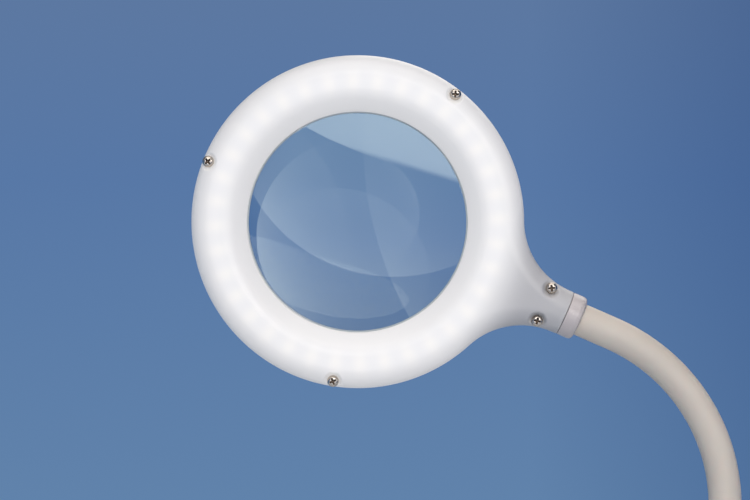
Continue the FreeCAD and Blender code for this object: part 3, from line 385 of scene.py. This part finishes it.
def make_piece(name, points, faces, slot, place=Matrix()):
    """A smooth mesh from points and faces, put in place, with its finish."""
    mesh = bpy.data.meshes.new(name)
    mesh.from_pydata([place @ Vector(p) for p in points], [], faces)
    mesh.materials.append(MATERIALS[slot])
    mesh.shade_smooth()
    piece = bpy.data.objects.new(name, mesh)
    bpy.context.scene.collection.objects.link(piece)
    return piece


def turn_outward(piece, merge=True, up=None):
    """Merge points in one place and turn faces outward; up is the way an open skin faces."""
    tidy = bmesh.new()
    tidy.from_mesh(piece.data)
    if merge:
        bmesh.ops.remove_doubles(tidy, verts=tidy.verts, dist=1e-7)
    bmesh.ops.recalc_face_normals(tidy, faces=tidy.faces)
    if up is not None:
        facing = sum((face.normal * face.calc_area() for face in tidy.faces), Vector())
        if facing.dot(up) < 0:
            bmesh.ops.reverse_faces(tidy, faces=tidy.faces)
    tidy.to_mesh(piece.data)
    tidy.free()


def grid_faces(rows, columns, closed, first=0):
    """Quads between rows of points; closed joins each row's end to its start."""
    faces = []
    span = columns if closed else columns - 1
    for i in range(rows - 1):
        for j in range(span):
            a = first + i * columns + j
            b = first + i * columns + (j + 1) % columns
            faces.append((a, b, b + columns, a + columns))
    return faces


def rounded(corners, radius, steps=6):
    """A polyline of (r, z) with each inner corner replaced by an arc of that radius, if it fits."""
    points = [Vector(corners[0])]
    for before, corner, after in zip(corners, corners[1:], corners[2:]):
        corner = Vector(corner)
        back = Vector(before) - corner
        on = Vector(after) - corner
        half = back.angle(on) / 2
        room = 0.49 * min(back.length, on.length)
        reach = min(radius / math.tan(half), room)
        start = corner + back.normalized() * reach
        end = corner + on.normalized() * reach
        for k in range(steps + 1):
            share = k / steps
            rest = 1 - share
            points.append(start * rest**2 + corner * 2 * share * rest + end * share**2)
    points.append(Vector(corners[-1]))
    return points


def lathe(name, section, slot, place=Matrix(), segments=128, closed=False):
    """A section of (r, z) spun about z; closed joins its end to its start."""
    points = []
    for r, z in section:
        for k in range(segments):
            turn = 2 * math.pi * k / segments
            points.append((r * math.cos(turn), r * math.sin(turn), z))
    faces = grid_faces(len(section), segments, True)
    if closed:
        last = (len(section) - 1) * segments
        for k in range(segments):
            after = (k + 1) % segments
            faces.append((last + k, last + after, after, k))
    piece = make_piece(name, points, faces, slot, place)
    turn_outward(piece)
    return piece


def standing(piece, body, *nodes):
    """The piece rides on that body and stands for those CAD nodes."""
    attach(piece, body)
    if nodes:
        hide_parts(*nodes)
    return piece


# ---------------------------------------------------------------- head shells

lift = (STEM_HALF + STEM_BLEND) / (HEAD_RADIUS + STEM_BLEND)
TANGENT = math.asin(lift)
blend_centre = Vector(((HEAD_RADIUS + STEM_BLEND) * math.cos(TANGENT), STEM_HALF + STEM_BLEND))


def half_outline():
    """Points and inward normals along the upper half of the head, from the stem to the far side."""
    run = []
    straight = 4
    for k in range(straight):
        x = STEM_LENGTH + (blend_centre.x - STEM_LENGTH) * k / straight
        run.append((Vector((x, STEM_HALF)), Vector((0, -1))))
    curve = 56
    for k in range(curve):
        turn = -math.pi / 2 - (math.pi / 2 - TANGENT) * k / curve
        way = Vector((math.cos(turn), math.sin(turn)))
        run.append((blend_centre + way * STEM_BLEND, way))
    ring = 264
    for k in range(ring + 1):
        turn = TANGENT + (math.pi - TANGENT) * k / ring
        way = Vector((math.cos(turn), math.sin(turn)))
        run.append((way * HEAD_RADIUS, -way))
    return run, straight + curve


def smoothstep(value):
    value = min(max(value, 0.0), 1.0)
    return value * value * (3 - 2 * value)


def screw_spots():
    """Where the five shell screws are, in the head's own x and y."""
    spots = []
    for angle in RIM_SCREW_ANGLES:
        turn = math.radians(angle)
        spots.append(Vector((math.cos(turn), math.sin(turn))) * RIM_SCREW_CIRCLE)
    return spots + [Vector(spot) for spot in NECK_SCREWS]


def dished(point):
    """The point, lowered where it lies in one of the shallow dishes round the screws."""
    x, y, z = point
    for spot in screw_spots():
        distance = (Vector((x, y)) - spot).length
        share = smoothstep((DISH_RADIUS - distance) / DISH_SLOPE)
        z = z - max(z - SCREW_SEAT, 0) * share
    return (x, y, z)


def shell_skin(name, slot, place, with_dishes):
    """One half of the head: rounded rim, flat face that runs out along the stem, and lens cone."""
    upper, tangent_at = half_outline()
    lower = [(Vector((p.x, -p.y)), Vector((n.x, -n.y))) for p, n in reversed(upper[:-1])]
    outline = upper + lower
    count = len(outline)
    round_steps = 18
    # rows of points as (distance inside the outline, height), up from the seam between the halves
    levels = [(0.35 * MM, 0.04 * MM), (0.10 * MM, 0.10 * MM), (0.0, 0.35 * MM)]
    side = SHELL_HEIGHT - ROUNDING
    for k in range(round_steps + 1):
        turn = math.pi / 2 * k / round_steps
        inward = ROUNDING * (1 - math.cos(turn))
        levels.append((inward, side + ROUNDING * math.sin(turn)))
    points = []
    for inward, height in levels:
        for spot, way in outline:
            flat = spot + way * inward
            points.append((flat.x, flat.y, height))
    faces = grid_faces(len(levels), count, False)
    top_row = (len(levels) - 1) * count

    # the stem's flat: rows of points across it, straight at the collar and bowed round the ring
    lanes = 24
    flat_radius = HEAD_RADIUS - ROUNDING
    chord = flat_radius * math.cos(TANGENT)
    cross_rows = []
    for j in range(tangent_at + 1):
        left = top_row + j
        right = top_row + count - 1 - j
        first, last = Vector(points[left]), Vector(points[right])
        bow = (flat_radius - chord) * (STEM_LENGTH - first.x) / (STEM_LENGTH - chord)
        row = [left]
        for k in range(1, lanes):
            spot = first.lerp(last, k / lanes)
            spot.x += bow * (1 - (1 - 2 * k / lanes) ** 2)
            row.append(len(points))
            points.append(tuple(spot))
        row.append(right)
        cross_rows.append(row)
    for row, following in zip(cross_rows, cross_rows[1:]):
        for k in range(lanes):
            faces.append((row[k], row[k + 1], following[k + 1], following[k]))

    # the ring's face and the cone down to the lens
    ring_row = list(range(top_row + tangent_at, top_row + count - tangent_at))
    ring_row += cross_rows[-1][::-1][1:-1]
    turns = []
    for spot, _ in outline[tangent_at : count - tangent_at]:
        turns.append(math.atan2(spot.y, spot.x))
    for index in ring_row[len(turns) :]:
        turns.append(math.atan2(points[index][1], points[index][0]))
    # the ring's flat face, the top of the cone, its foot and the lip, each edge eased a little
    corners = [
        (flat_radius - 1.0 * MM, SHELL_HEIGHT),
        (CONE_TOP + 0.6 * MM, SHELL_HEIGHT - 0.1 * MM),
        (CONE_FOOT + 0.15 * MM, LIP_TOP),
        (CONE_FOOT, LIP_FOOT),
    ]
    cone = rounded(corners, CONE_ROUNDING, 9)
    previous = ring_row
    for r, height in cone:
        row = []
        for turn in turns:
            row.append(len(points))
            points.append((r * math.cos(turn), r * math.sin(turn), height))
        for k in range(len(row)):
            after = (k + 1) % len(row)
            faces.append((previous[k], previous[after], row[after], row[k]))
        previous = row
    if with_dishes:
        points = [dished(point) for point in points]
    piece = make_piece(name, points, faces, slot, place)
    turn_outward(piece, merge=False, up=place.to_3x3() @ Vector((0, 0, 1)))
    wall = piece.modifiers.new("wall", "SOLIDIFY")
    wall.thickness = SHELL_WALL
    wall.offset = -1
    soft = piece.modifiers.new("soft", "SUBSURF")
    soft.levels = 1
    soft.render_levels = 1
    return piece


standing(shell_skin("front_shell_skin", "diffuser", HEAD, True), "head", "front_shell")
standing(shell_skin("rear_shell_skin", "shell_white", BACK_HALF, False), "head", "rear_shell")

# ---------------------------------------------------------------- shell screws

SCREW_RADIUS = 2.65 * MM
SCREW_HEIGHT = 2.0 * MM
SHANK_RADIUS = 1.1 * MM
SHANK_TIP = 1.5 * MM
# the height of the head's square rim, as a share of its whole height
HEAD_RIM = 0.06
# half the length and half the width of the recess's arms, its depth, and how far its edges slope
CROSS_ARM = 1.5 * MM
CROSS_HALF = 0.36 * MM
CROSS_DEPTH = 1.25 * MM
CROSS_SLOPE = 0.22 * MM
shank_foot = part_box("rim_screws")[1].y


def cross_depth(x, y):
    """Depth of a Phillips recess at a point of the screw head."""
    arm, half = CROSS_ARM, CROSS_HALF
    outside = min(max(abs(x) - arm, abs(y) - half), max(abs(y) - arm, abs(x) - half))
    inside = smoothstep(0.5 - outside / CROSS_SLOPE)
    reach = math.hypot(x, y) / arm
    return inside * CROSS_DEPTH * (1 - 0.6 * min(reach, 1.0) ** 2)


def screw_mesh(spots):
    """Points and faces of domed Phillips screws at (x, y, turn) in the head's frame."""
    segments = 72
    rings = 34
    crowding = 0.8
    points = []
    faces = []
    for x0, y0, turn in spots:
        first = len(points)
        for i in range(rings + 1):
            share = (i / rings) ** crowding
            r = SCREW_RADIUS * share
            crown = math.sqrt(max(1 - share**4, 0))
            dome = SCREW_HEIGHT * (crown * (1 - HEAD_RIM) + HEAD_RIM)
            for j in range(segments):
                angle = 2 * math.pi * j / segments
                x, y = r * math.cos(angle), r * math.sin(angle)
                deep = cross_depth(x, y)
                spin = angle + turn
                height = SCREW_SEAT + dome - deep
                points.append((x0 + r * math.cos(spin), y0 + r * math.sin(spin), height))
        for r, height in (
            (SCREW_RADIUS, SCREW_SEAT),
            (SHANK_RADIUS, SCREW_SEAT),
            (SHANK_RADIUS, SHANK_TIP - shank_foot),
            (SHANK_RADIUS * 0.3, -shank_foot),
            (0.0, -shank_foot),
        ):
            for j in range(segments):
                angle = 2 * math.pi * j / segments + turn
                points.append((x0 + r * math.cos(angle), y0 + r * math.sin(angle), height))
        faces += grid_faces(rings + 6, segments, True, first)
    return points, faces


def screws(name, node, spots):
    """The screws of one CAD node as a piece, with painted shade: a dark steel deep in their
    recesses.
    """
    painted_shade_from = 0.3 * MM
    points, faces = screw_mesh(spots)
    piece = make_piece(name, points, faces, "screw_steel", HEAD)
    piece.data.materials.append(RECESS_SHADE)
    for polygon in piece.data.polygons:
        x, y, height = HEAD.inverted() @ polygon.center
        x0, y0, turn = min(spots, key=lambda spot: math.hypot(x - spot[0], y - spot[1]))
        local = Matrix.Rotation(-turn, 2) @ Vector((x - x0, y - y0))
        # faces deep in the cross get the dark steel of painted shade
        if height > SCREW_SEAT and cross_depth(*local) > painted_shade_from:
            polygon.material_index = 1
    turn_outward(piece)
    standing(piece, "head", node)


# how far each screw's cross is turned, in radians
SCREW_TURNS = (0.35, 1.1, 0.8, 0.5, 0.15)
turned = [(spot.x, spot.y, turn) for spot, turn in zip(screw_spots(), SCREW_TURNS)]
screws("rim_screw_heads", "rim_screws", turned[:3])
screws("neck_screw_heads", "neck_screws", turned[3:])

# ---------------------------------------------------------------- lens and its gasket

lens_low, lens_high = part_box("magnifier_lens")
LENS_RADIUS = (lens_high.z - lens_low.z) / 2
# half the thickness of the lens at its edge
LENS_EDGE = 1.1 * MM
lens_crown = -lens_low.y
sag = lens_crown - LENS_EDGE
lens_curve = (LENS_RADIUS**2 + sag**2) / (2 * sag)


LENS_SEGMENTS = 192


def lens_section():
    """Half of the lens section, from the middle of its back to the middle of its front."""
    steps = 40
    front = []
    for k in range(steps + 1):
        r = LENS_RADIUS * k / steps
        front.append((r, lens_crown - lens_curve + math.sqrt(lens_curve**2 - r * r)))
    return [(r, -z) for r, z in front] + front[::-1]


lens = lathe("lens", lens_section(), "lens_glass", HEAD, LENS_SEGMENTS)
standing(lens, "head", "magnifier_lens")

GASKET_LIP = 1.0 * MM
GASKET_WALL = 0.5 * MM
GASKET_ROUNDING = 0.15 * MM
# clear of the lens by this much at its edge, and by a little less where it meets it
GASKET_GAP = 0.2 * MM
GASKET_SEAT = 0.18 * MM
gasket_inner = LENS_RADIUS - GASKET_LIP
gasket_outer = LENS_RADIUS + GASKET_LIP
gasket_top = LENS_EDGE + GASKET_WALL
gasket_corners = [
    (LENS_RADIUS - GASKET_GAP, LENS_EDGE + GASKET_SEAT),
    (gasket_inner, LENS_EDGE + GASKET_GAP),
    (gasket_inner, gasket_top),
    (gasket_outer, gasket_top),
    (gasket_outer, -gasket_top),
    (gasket_inner, -gasket_top),
    (gasket_inner, -LENS_EDGE - GASKET_GAP),
    (LENS_RADIUS - GASKET_GAP, -LENS_EDGE - GASKET_SEAT),
]
section = rounded(gasket_corners, GASKET_ROUNDING, 3)
gasket = lathe("gasket", section, "gasket", HEAD, LENS_SEGMENTS, closed=True)
standing(gasket, "head", "lens_gasket")

# ---------------------------------------------------------------- collars

ALONG_STEM = HEAD @ Matrix.Rotation(math.pi / 2, 4, "Y")


BACK_BEVEL = 0.25 * MM
BORE_BEVEL = 0.5 * MM
# the outer front edge, as distances in from the side and back from the front
FRONT_BEVEL = ((0.0, 2.2 * MM), (0.35 * MM, 0.7 * MM), (1.6 * MM, 0.0))
COLLAR_ROUNDING = 0.8 * MM


def collar_section(back, front, bore):
    """A ring's section with a small bevel at its back and a large one at its outer front edge."""
    corners = [
        (bore, front - BORE_BEVEL),
        (bore, back),
        (STEM_HALF - BACK_BEVEL, back),
        (STEM_HALF, back + BACK_BEVEL),
    ]
    corners += [(STEM_HALF - inward, front - behind) for inward, behind in FRONT_BEVEL]
    corners.append((bore + BORE_BEVEL, front))
    return rounded(corners + [corners[0]], COLLAR_ROUNDING, 5)[:-1]


COLLAR_SEAM = 0.08 * MM
COLLAR_PLAY = 0.05 * MM
collar_front = STEM_LENGTH + COLLAR_LENGTH
section = collar_section(STEM_LENGTH + COLLAR_SEAM, collar_front, NECK_RADIUS + COLLAR_PLAY)
ring = lathe("neck_collar_ring", section, "collar_white", ALONG_STEM, closed=True)
standing(ring, "head", "neck_collar")

foot_low, foot_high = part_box("foot_collar")
foot_axis = Matrix.Translation(((foot_low.x + foot_high.x) / 2, 0, 0))
section = collar_section(foot_low.z + COLLAR_PLAY, foot_high.z, NECK_RADIUS + COLLAR_PLAY)
ring = lathe("foot_collar_ring", section, "collar_white", foot_axis, closed=True)
standing(ring, "base", "foot_collar")

# ---------------------------------------------------------------- flexible neck

# the pivot where the neck's straight run ends and its bend begins
BEND_JOINT = 4
bend = Vector((0, 0, 1)).angle(-STEM)
bend_radius = (pivots[-1] - pivots[BEND_JOINT]).length / (2 * math.sin(bend / 2))
bend_centre = pivots[BEND_JOINT] - Vector((bend_radius, 0, 0))
# how deep the sleeve's ends sit inside the two collars
FOOT_HIDDEN = 3.0 * MM
TIP_HIDDEN = 1.0 * MM
neck_foot = Vector((pivots[0].x, 0, foot_low.z + FOOT_HIDDEN))
neck_tip = lens_centre + STEM * (STEM_LENGTH + TIP_HIDDEN)
length_up = (pivots[BEND_JOINT] - neck_foot).length
length_round = bend_radius * bend
length_down = (neck_tip - pivots[-1]).length
NECK_LENGTH = length_up + length_round + length_down


def neck_point(distance):
    """The neck's centreline and its direction, at a distance from its foot."""
    if distance <= length_up:
        return neck_foot + Vector((0, 0, distance)), Vector((0, 0, 1))
    if distance <= length_up + length_round:
        turn = (distance - length_up) / bend_radius
        way = Vector((math.cos(turn), 0, math.sin(turn)))
        return bend_centre + way * bend_radius, Vector((-way.z, 0, way.x))
    return pivots[-1] - STEM * (distance - length_up - length_round), -STEM


pivot_distances = [(pivot - neck_foot).length for pivot in pivots[: BEND_JOINT + 1]]
pivot_distances += [length_up + length_round / 2, length_up + length_round]
collar_entry = NECK_LENGTH - COLLAR_LENGTH - TIP_HIDDEN


def between_pivots(k):
    """Half-way along link k, as a distance from the neck's foot."""
    first = foot_high.z - neck_foot.z if k == 0 else pivot_distances[k - 1]
    last = collar_entry if k == len(pivots) else pivot_distances[k]
    return (first + last) / 2


RING_SPACING = 1.0 * MM


def sleeve_piece(k):
    """The stretch of sleeve round pivot k, from mid-link to mid-link."""
    start = 0.0 if k == 0 else between_pivots(k)
    end = NECK_LENGTH if k == len(pivots) - 1 else between_pivots(k + 1)
    rings = max(int((end - start) / RING_SPACING), 8)
    segments = 48
    points = []
    for i in range(rings + 1):
        centre, way = neck_point(start + (end - start) * i / rings)
        side = Vector((0, 1, 0))
        out = side.cross(way)
        for j in range(segments):
            turn = 2 * math.pi * j / segments
            points.append(centre + (side * math.sin(turn) + out * math.cos(turn)) * NECK_RADIUS)
    faces = grid_faces(rings + 1, segments, True)
    piece = make_piece(f"neck_sleeve_{k + 1}", points, faces, "neck_sleeve")
    links = [f"neck_link_{k}"]
    if k == len(pivots) - 1:
        links.append(f"neck_link_{k + 1}")
    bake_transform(piece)
    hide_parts(*links)


for number in range(len(pivots)):
    sleeve_piece(number)

# ---------------------------------------------------------------- the push button's spring

SPRING_TURNS = 4
SPRING_WIRE = 0.4 * MM


def spring_coil():
    """The coiled spring under the push button."""
    low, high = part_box("switch_spring")
    axis = (low + high) / 2
    radius = (high.y - low.y) / 2 - SPRING_WIRE
    rise = high.z - low.z - 2 * SPRING_WIRE
    steps = 40 * SPRING_TURNS
    sides = 10
    points = []
    for i in range(steps + 1):
        turn = 2 * math.pi * SPRING_TURNS * i / steps
        out = Vector((math.cos(turn), math.sin(turn), 0))
        centre = Vector((axis.x, axis.y, low.z + SPRING_WIRE + rise * i / steps)) + out * radius
        along = Vector((-out.y * radius, out.x * radius, rise / (2 * math.pi * SPRING_TURNS)))
        up = out.cross(along.normalized())
        for j in range(sides):
            angle = 2 * math.pi * j / sides
            points.append(centre + (out * math.cos(angle) + up * math.sin(angle)) * SPRING_WIRE)
    faces = grid_faces(steps + 1, sides, True)
    faces += [tuple(range(sides)), tuple(range(steps * sides, (steps + 1) * sides))]
    piece = make_piece("button_spring", points, faces, "spring_steel")
    turn_outward(piece, merge=False)
    standing(piece, "base", "switch_spring")
    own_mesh(piece)


spring_coil()

# ---------------------------------------------------------------- broken edges of other nodes

BROKEN_EDGE = 0.12 * MM
EDGE_ANGLE = math.radians(35)

for node in ("dc_inlet", "base_cover", "switch_button", "base_screws"):
    edge = frame["nodes"][node].modifiers.new("broken_edges", "BEVEL")
    edge.width = BROKEN_EDGE
    edge.segments = 2
    edge.limit_method = "ANGLE"
    edge.angle_limit = EDGE_ANGLE
    edge.harden_normals = True

# ---------------------------------------------------------------- floor, light and camera

FLOOR_RADIUS = 1.4
FLOOR_FADE = (0.40, 1.0)
FLOOR_DROP = 0.2 * MM


def floor():
    """A pale round floor that fades out before its edge."""
    g = Graph("floor")
    offset = g.node("VectorMath", {0: g.position()}, operation="LENGTH").outputs["Value"]
    fade = g.between(offset, 1.0, 0.0, *FLOOR_FADE)
    g.set(Base_Color=rgb(0.62, 0.66, 0.71), Roughness=0.7, Alpha=fade)
    disc = bmesh.new()
    bmesh.ops.create_circle(disc, cap_ends=True, segments=96, radius=FLOOR_RADIUS)
    mesh = bpy.data.meshes.new("floor")
    disc.to_mesh(mesh)
    disc.free()
    mesh.materials.append(g.material)
    ground = bpy.data.objects.new("floor", mesh)
    ground.location.z = cad_low.z - FLOOR_DROP
    bpy.context.scene.collection.objects.link(ground)


# the surround's colours by height: z of the direction of view, from straight ahead to overhead
SKY_SPAN = (-0.25, 0.75)
SKY_LOW = rgb(0.130, 0.245, 0.42)
SKY_TOP = rgb(0.20, 0.21, 0.23)
SKY_BETWEEN = ((0.25, rgb(0.097, 0.188, 0.383)), (0.75, rgb(0.16, 0.19, 0.24)))
# the side of it behind the neck is darker
SIDE_SPAN = (0.04, 0.22)
SIDE_SHADE = rgb(0.45, 0.55, 0.70)


def world():
    """A plain blue surround at eye level, deeper above it and neutral overhead."""
    surround = bpy.data.worlds.new("surround")
    bpy.context.scene.world = surround
    surround.use_nodes = True
    tree = surround.node_tree
    direction = tree.nodes.new("ShaderNodeTexCoord").outputs["Generated"]
    split = tree.nodes.new("ShaderNodeSeparateXYZ")
    tree.links.new(direction, split.inputs[0])
    height = tree.nodes.new("ShaderNodeMapRange")
    height.inputs["From Min"].default_value = SKY_SPAN[0]
    height.inputs["From Max"].default_value = SKY_SPAN[1]
    tree.links.new(split.outputs["Z"], height.inputs["Value"])
    ramp = tree.nodes.new("ShaderNodeValToRGB")
    stops = ramp.color_ramp.elements
    stops[0].position = 0.02
    stops[0].color = SKY_LOW
    stops[1].position = 1.0
    stops[1].color = SKY_TOP
    for position, colour in SKY_BETWEEN:
        stops.new(position).color = colour
    tree.links.new(height.outputs[0], ramp.inputs[0])
    side = tree.nodes.new("ShaderNodeMapRange")
    side.inputs["From Min"].default_value = SIDE_SPAN[0]
    side.inputs["From Max"].default_value = SIDE_SPAN[1]
    tree.links.new(split.outputs["X"], side.inputs["Value"])
    deeper = tree.nodes.new("ShaderNodeMix")
    deeper.data_type = "RGBA"
    deeper.blend_type = "MULTIPLY"
    deeper.inputs["B"].default_value = SIDE_SHADE
    tree.links.new(side.outputs[0], deeper.inputs["Factor"])
    tree.links.new(ramp.outputs[0], deeper.inputs["A"])
    tree.links.new(deeper.outputs["Result"], tree.nodes["Background"].inputs["Color"])


LIGHT_DISTANCE = 1.6
LIGHT_WHITE = (1.0, 0.965, 0.92)


def softbox(
    name, azimuth, elevation, size, shape, bright, dim, toward=(0, -1), fall=1.0, roll=0.0, soft=0.0
):
    """A soft light that faces the lens. Angles and size are in degrees as seen from it.

    Its glow runs from dim up to bright, in watts per square metre and steradian, toward one side,
    with the power fall, and fades in over the share soft of its height at its lower edge."""
    reach = LIGHT_DISTANCE
    light = bpy.data.lights.new(name, "AREA")
    light.shape = shape
    light.size = 2 * reach * math.tan(math.radians(size[0] / 2))
    light.size_y = 2 * reach * math.tan(math.radians(size[1] / 2))
    area = light.size * light.size_y
    if shape == "ELLIPSE":
        area *= math.pi / 4
    light.energy = math.pi * area * bright
    light.color = LIGHT_WHITE
    light.use_nodes = True
    tree = light.node_tree
    split = tree.nodes.new("ShaderNodeSeparateXYZ")
    tree.links.new(tree.nodes.new("ShaderNodeNewGeometry").outputs["Parametric"], split.inputs[0])
    total = None
    for axis, weight in zip("XY", toward):
        share = tree.nodes.new("ShaderNodeMath")
        share.operation = "MULTIPLY"
        share.inputs[1].default_value = weight
        tree.links.new(split.outputs[axis], share.inputs[0])
        if total is None:
            total = share.outputs[0]
        else:
            both = tree.nodes.new("ShaderNodeMath")
            tree.links.new(total, both.inputs[0])
            tree.links.new(share.outputs[0], both.inputs[1])
            total = both.outputs[0]
    span = tree.nodes.new("ShaderNodeMapRange")
    ends = [sum(min(w, 0) for w in toward), sum(max(w, 0) for w in toward)]
    span.inputs["From Min"].default_value = ends[0]
    span.inputs["From Max"].default_value = ends[1]
    tree.links.new(total, span.inputs["Value"])
    curve = tree.nodes.new("ShaderNodeMath")
    curve.operation = "POWER"
    curve.inputs[1].default_value = fall
    tree.links.new(span.outputs[0], curve.inputs[0])
    level = tree.nodes.new("ShaderNodeMapRange")
    level.inputs["To Min"].default_value = dim / bright
    tree.links.new(curve.outputs[0], level.inputs["Value"])
    strength = level.outputs[0]
    if soft:
        fade = tree.nodes.new("ShaderNodeMapRange")
        fade.interpolation_type = "SMOOTHSTEP"
        fade.inputs["From Max"].default_value = soft
        tree.links.new(split.outputs["Y"], fade.inputs["Value"])
        faded = tree.nodes.new("ShaderNodeMath")
        faded.operation = "MULTIPLY"
        tree.links.new(strength, faded.inputs[0])
        tree.links.new(fade.outputs[0], faded.inputs[1])
        strength = faded.outputs[0]
    tree.links.new(strength, tree.nodes["Emission"].inputs["Strength"])
    lamp = bpy.data.objects.new(name, light)
    azimuth, elevation = math.radians(azimuth), math.radians(elevation)
    flat = math.cos(elevation)
    way = Vector((math.sin(azimuth) * flat, -math.cos(azimuth) * flat, math.sin(elevation)))
    turn = (-way).to_track_quat("-Z", "Y").to_matrix().to_4x4()
    turn = turn @ Matrix.Rotation(math.radians(roll), 4, "Z")
    lamp.matrix_world = Matrix.Translation(lens_centre + way * reach) @ turn
    lamp.visible_camera = False
    bpy.context.scene.collection.objects.link(lamp)


floor()
world()
# the discs and the window are what the lens reflects as overlapping arcs
softbox("overhead", 5, 66, (64, 50), "RECTANGLE", 1.85, 1.6)
softbox("upper_disc", 4.5, 18.4, (60, 60), "ELLIPSE", 3.5, 0.0, (-0.5, -0.8), 4)
softbox("near_disc", -2.8, -4.1, (38, 38), "ELLIPSE", 6.0, 0.0, (-1.0, -0.3), 6)
softbox("side_disc", 50.0, 9.2, (101, 101), "ELLIPSE", 4.6, 0.0, (-1.0, -1.0), 8)
softbox("window", 13.0, 17.6, (64, 20), "ELLIPSE", 5.3, 2.6, (0.7, 0.6), 1.0, -18, 0.08)
# the only light behind the head, for the views from there
softbox("back_light", 160, 42, (40, 40), "RECTANGLE", 1.8, 1.2)

# the camera looks almost straight at the head, a little from above and from the neck's side
LENS_LENGTH = 100.0
SENSOR_WIDTH = 36.0
CAMERA_DISTANCE = 0.94
CAMERA_UP = math.radians(2.0)
CAMERA_ASIDE = math.radians(2.0)
camera_data = bpy.data.cameras.new("camera")
camera_data.lens = LENS_LENGTH
camera_data.sensor_width = SENSOR_WIDTH
camera = bpy.data.objects.new("camera", camera_data)
aside = Matrix.Rotation(CAMERA_ASIDE, 4, "Z")
upright = Matrix.Rotation(math.pi / 2 - CAMERA_UP, 4, "X")
# the camera stands this far to the right of the lens and below it, which frames the head
to_frame_centre = Matrix.Translation((7.9 * MM, -12.6 * MM, CAMERA_DISTANCE))
camera.matrix_world = Matrix.Translation(lens_centre) @ aside @ upright @ to_frame_centre
bpy.context.scene.collection.objects.link(camera)
bpy.context.scene.camera = camera
bpy.context.scene.view_settings.view_transform = "Standard"
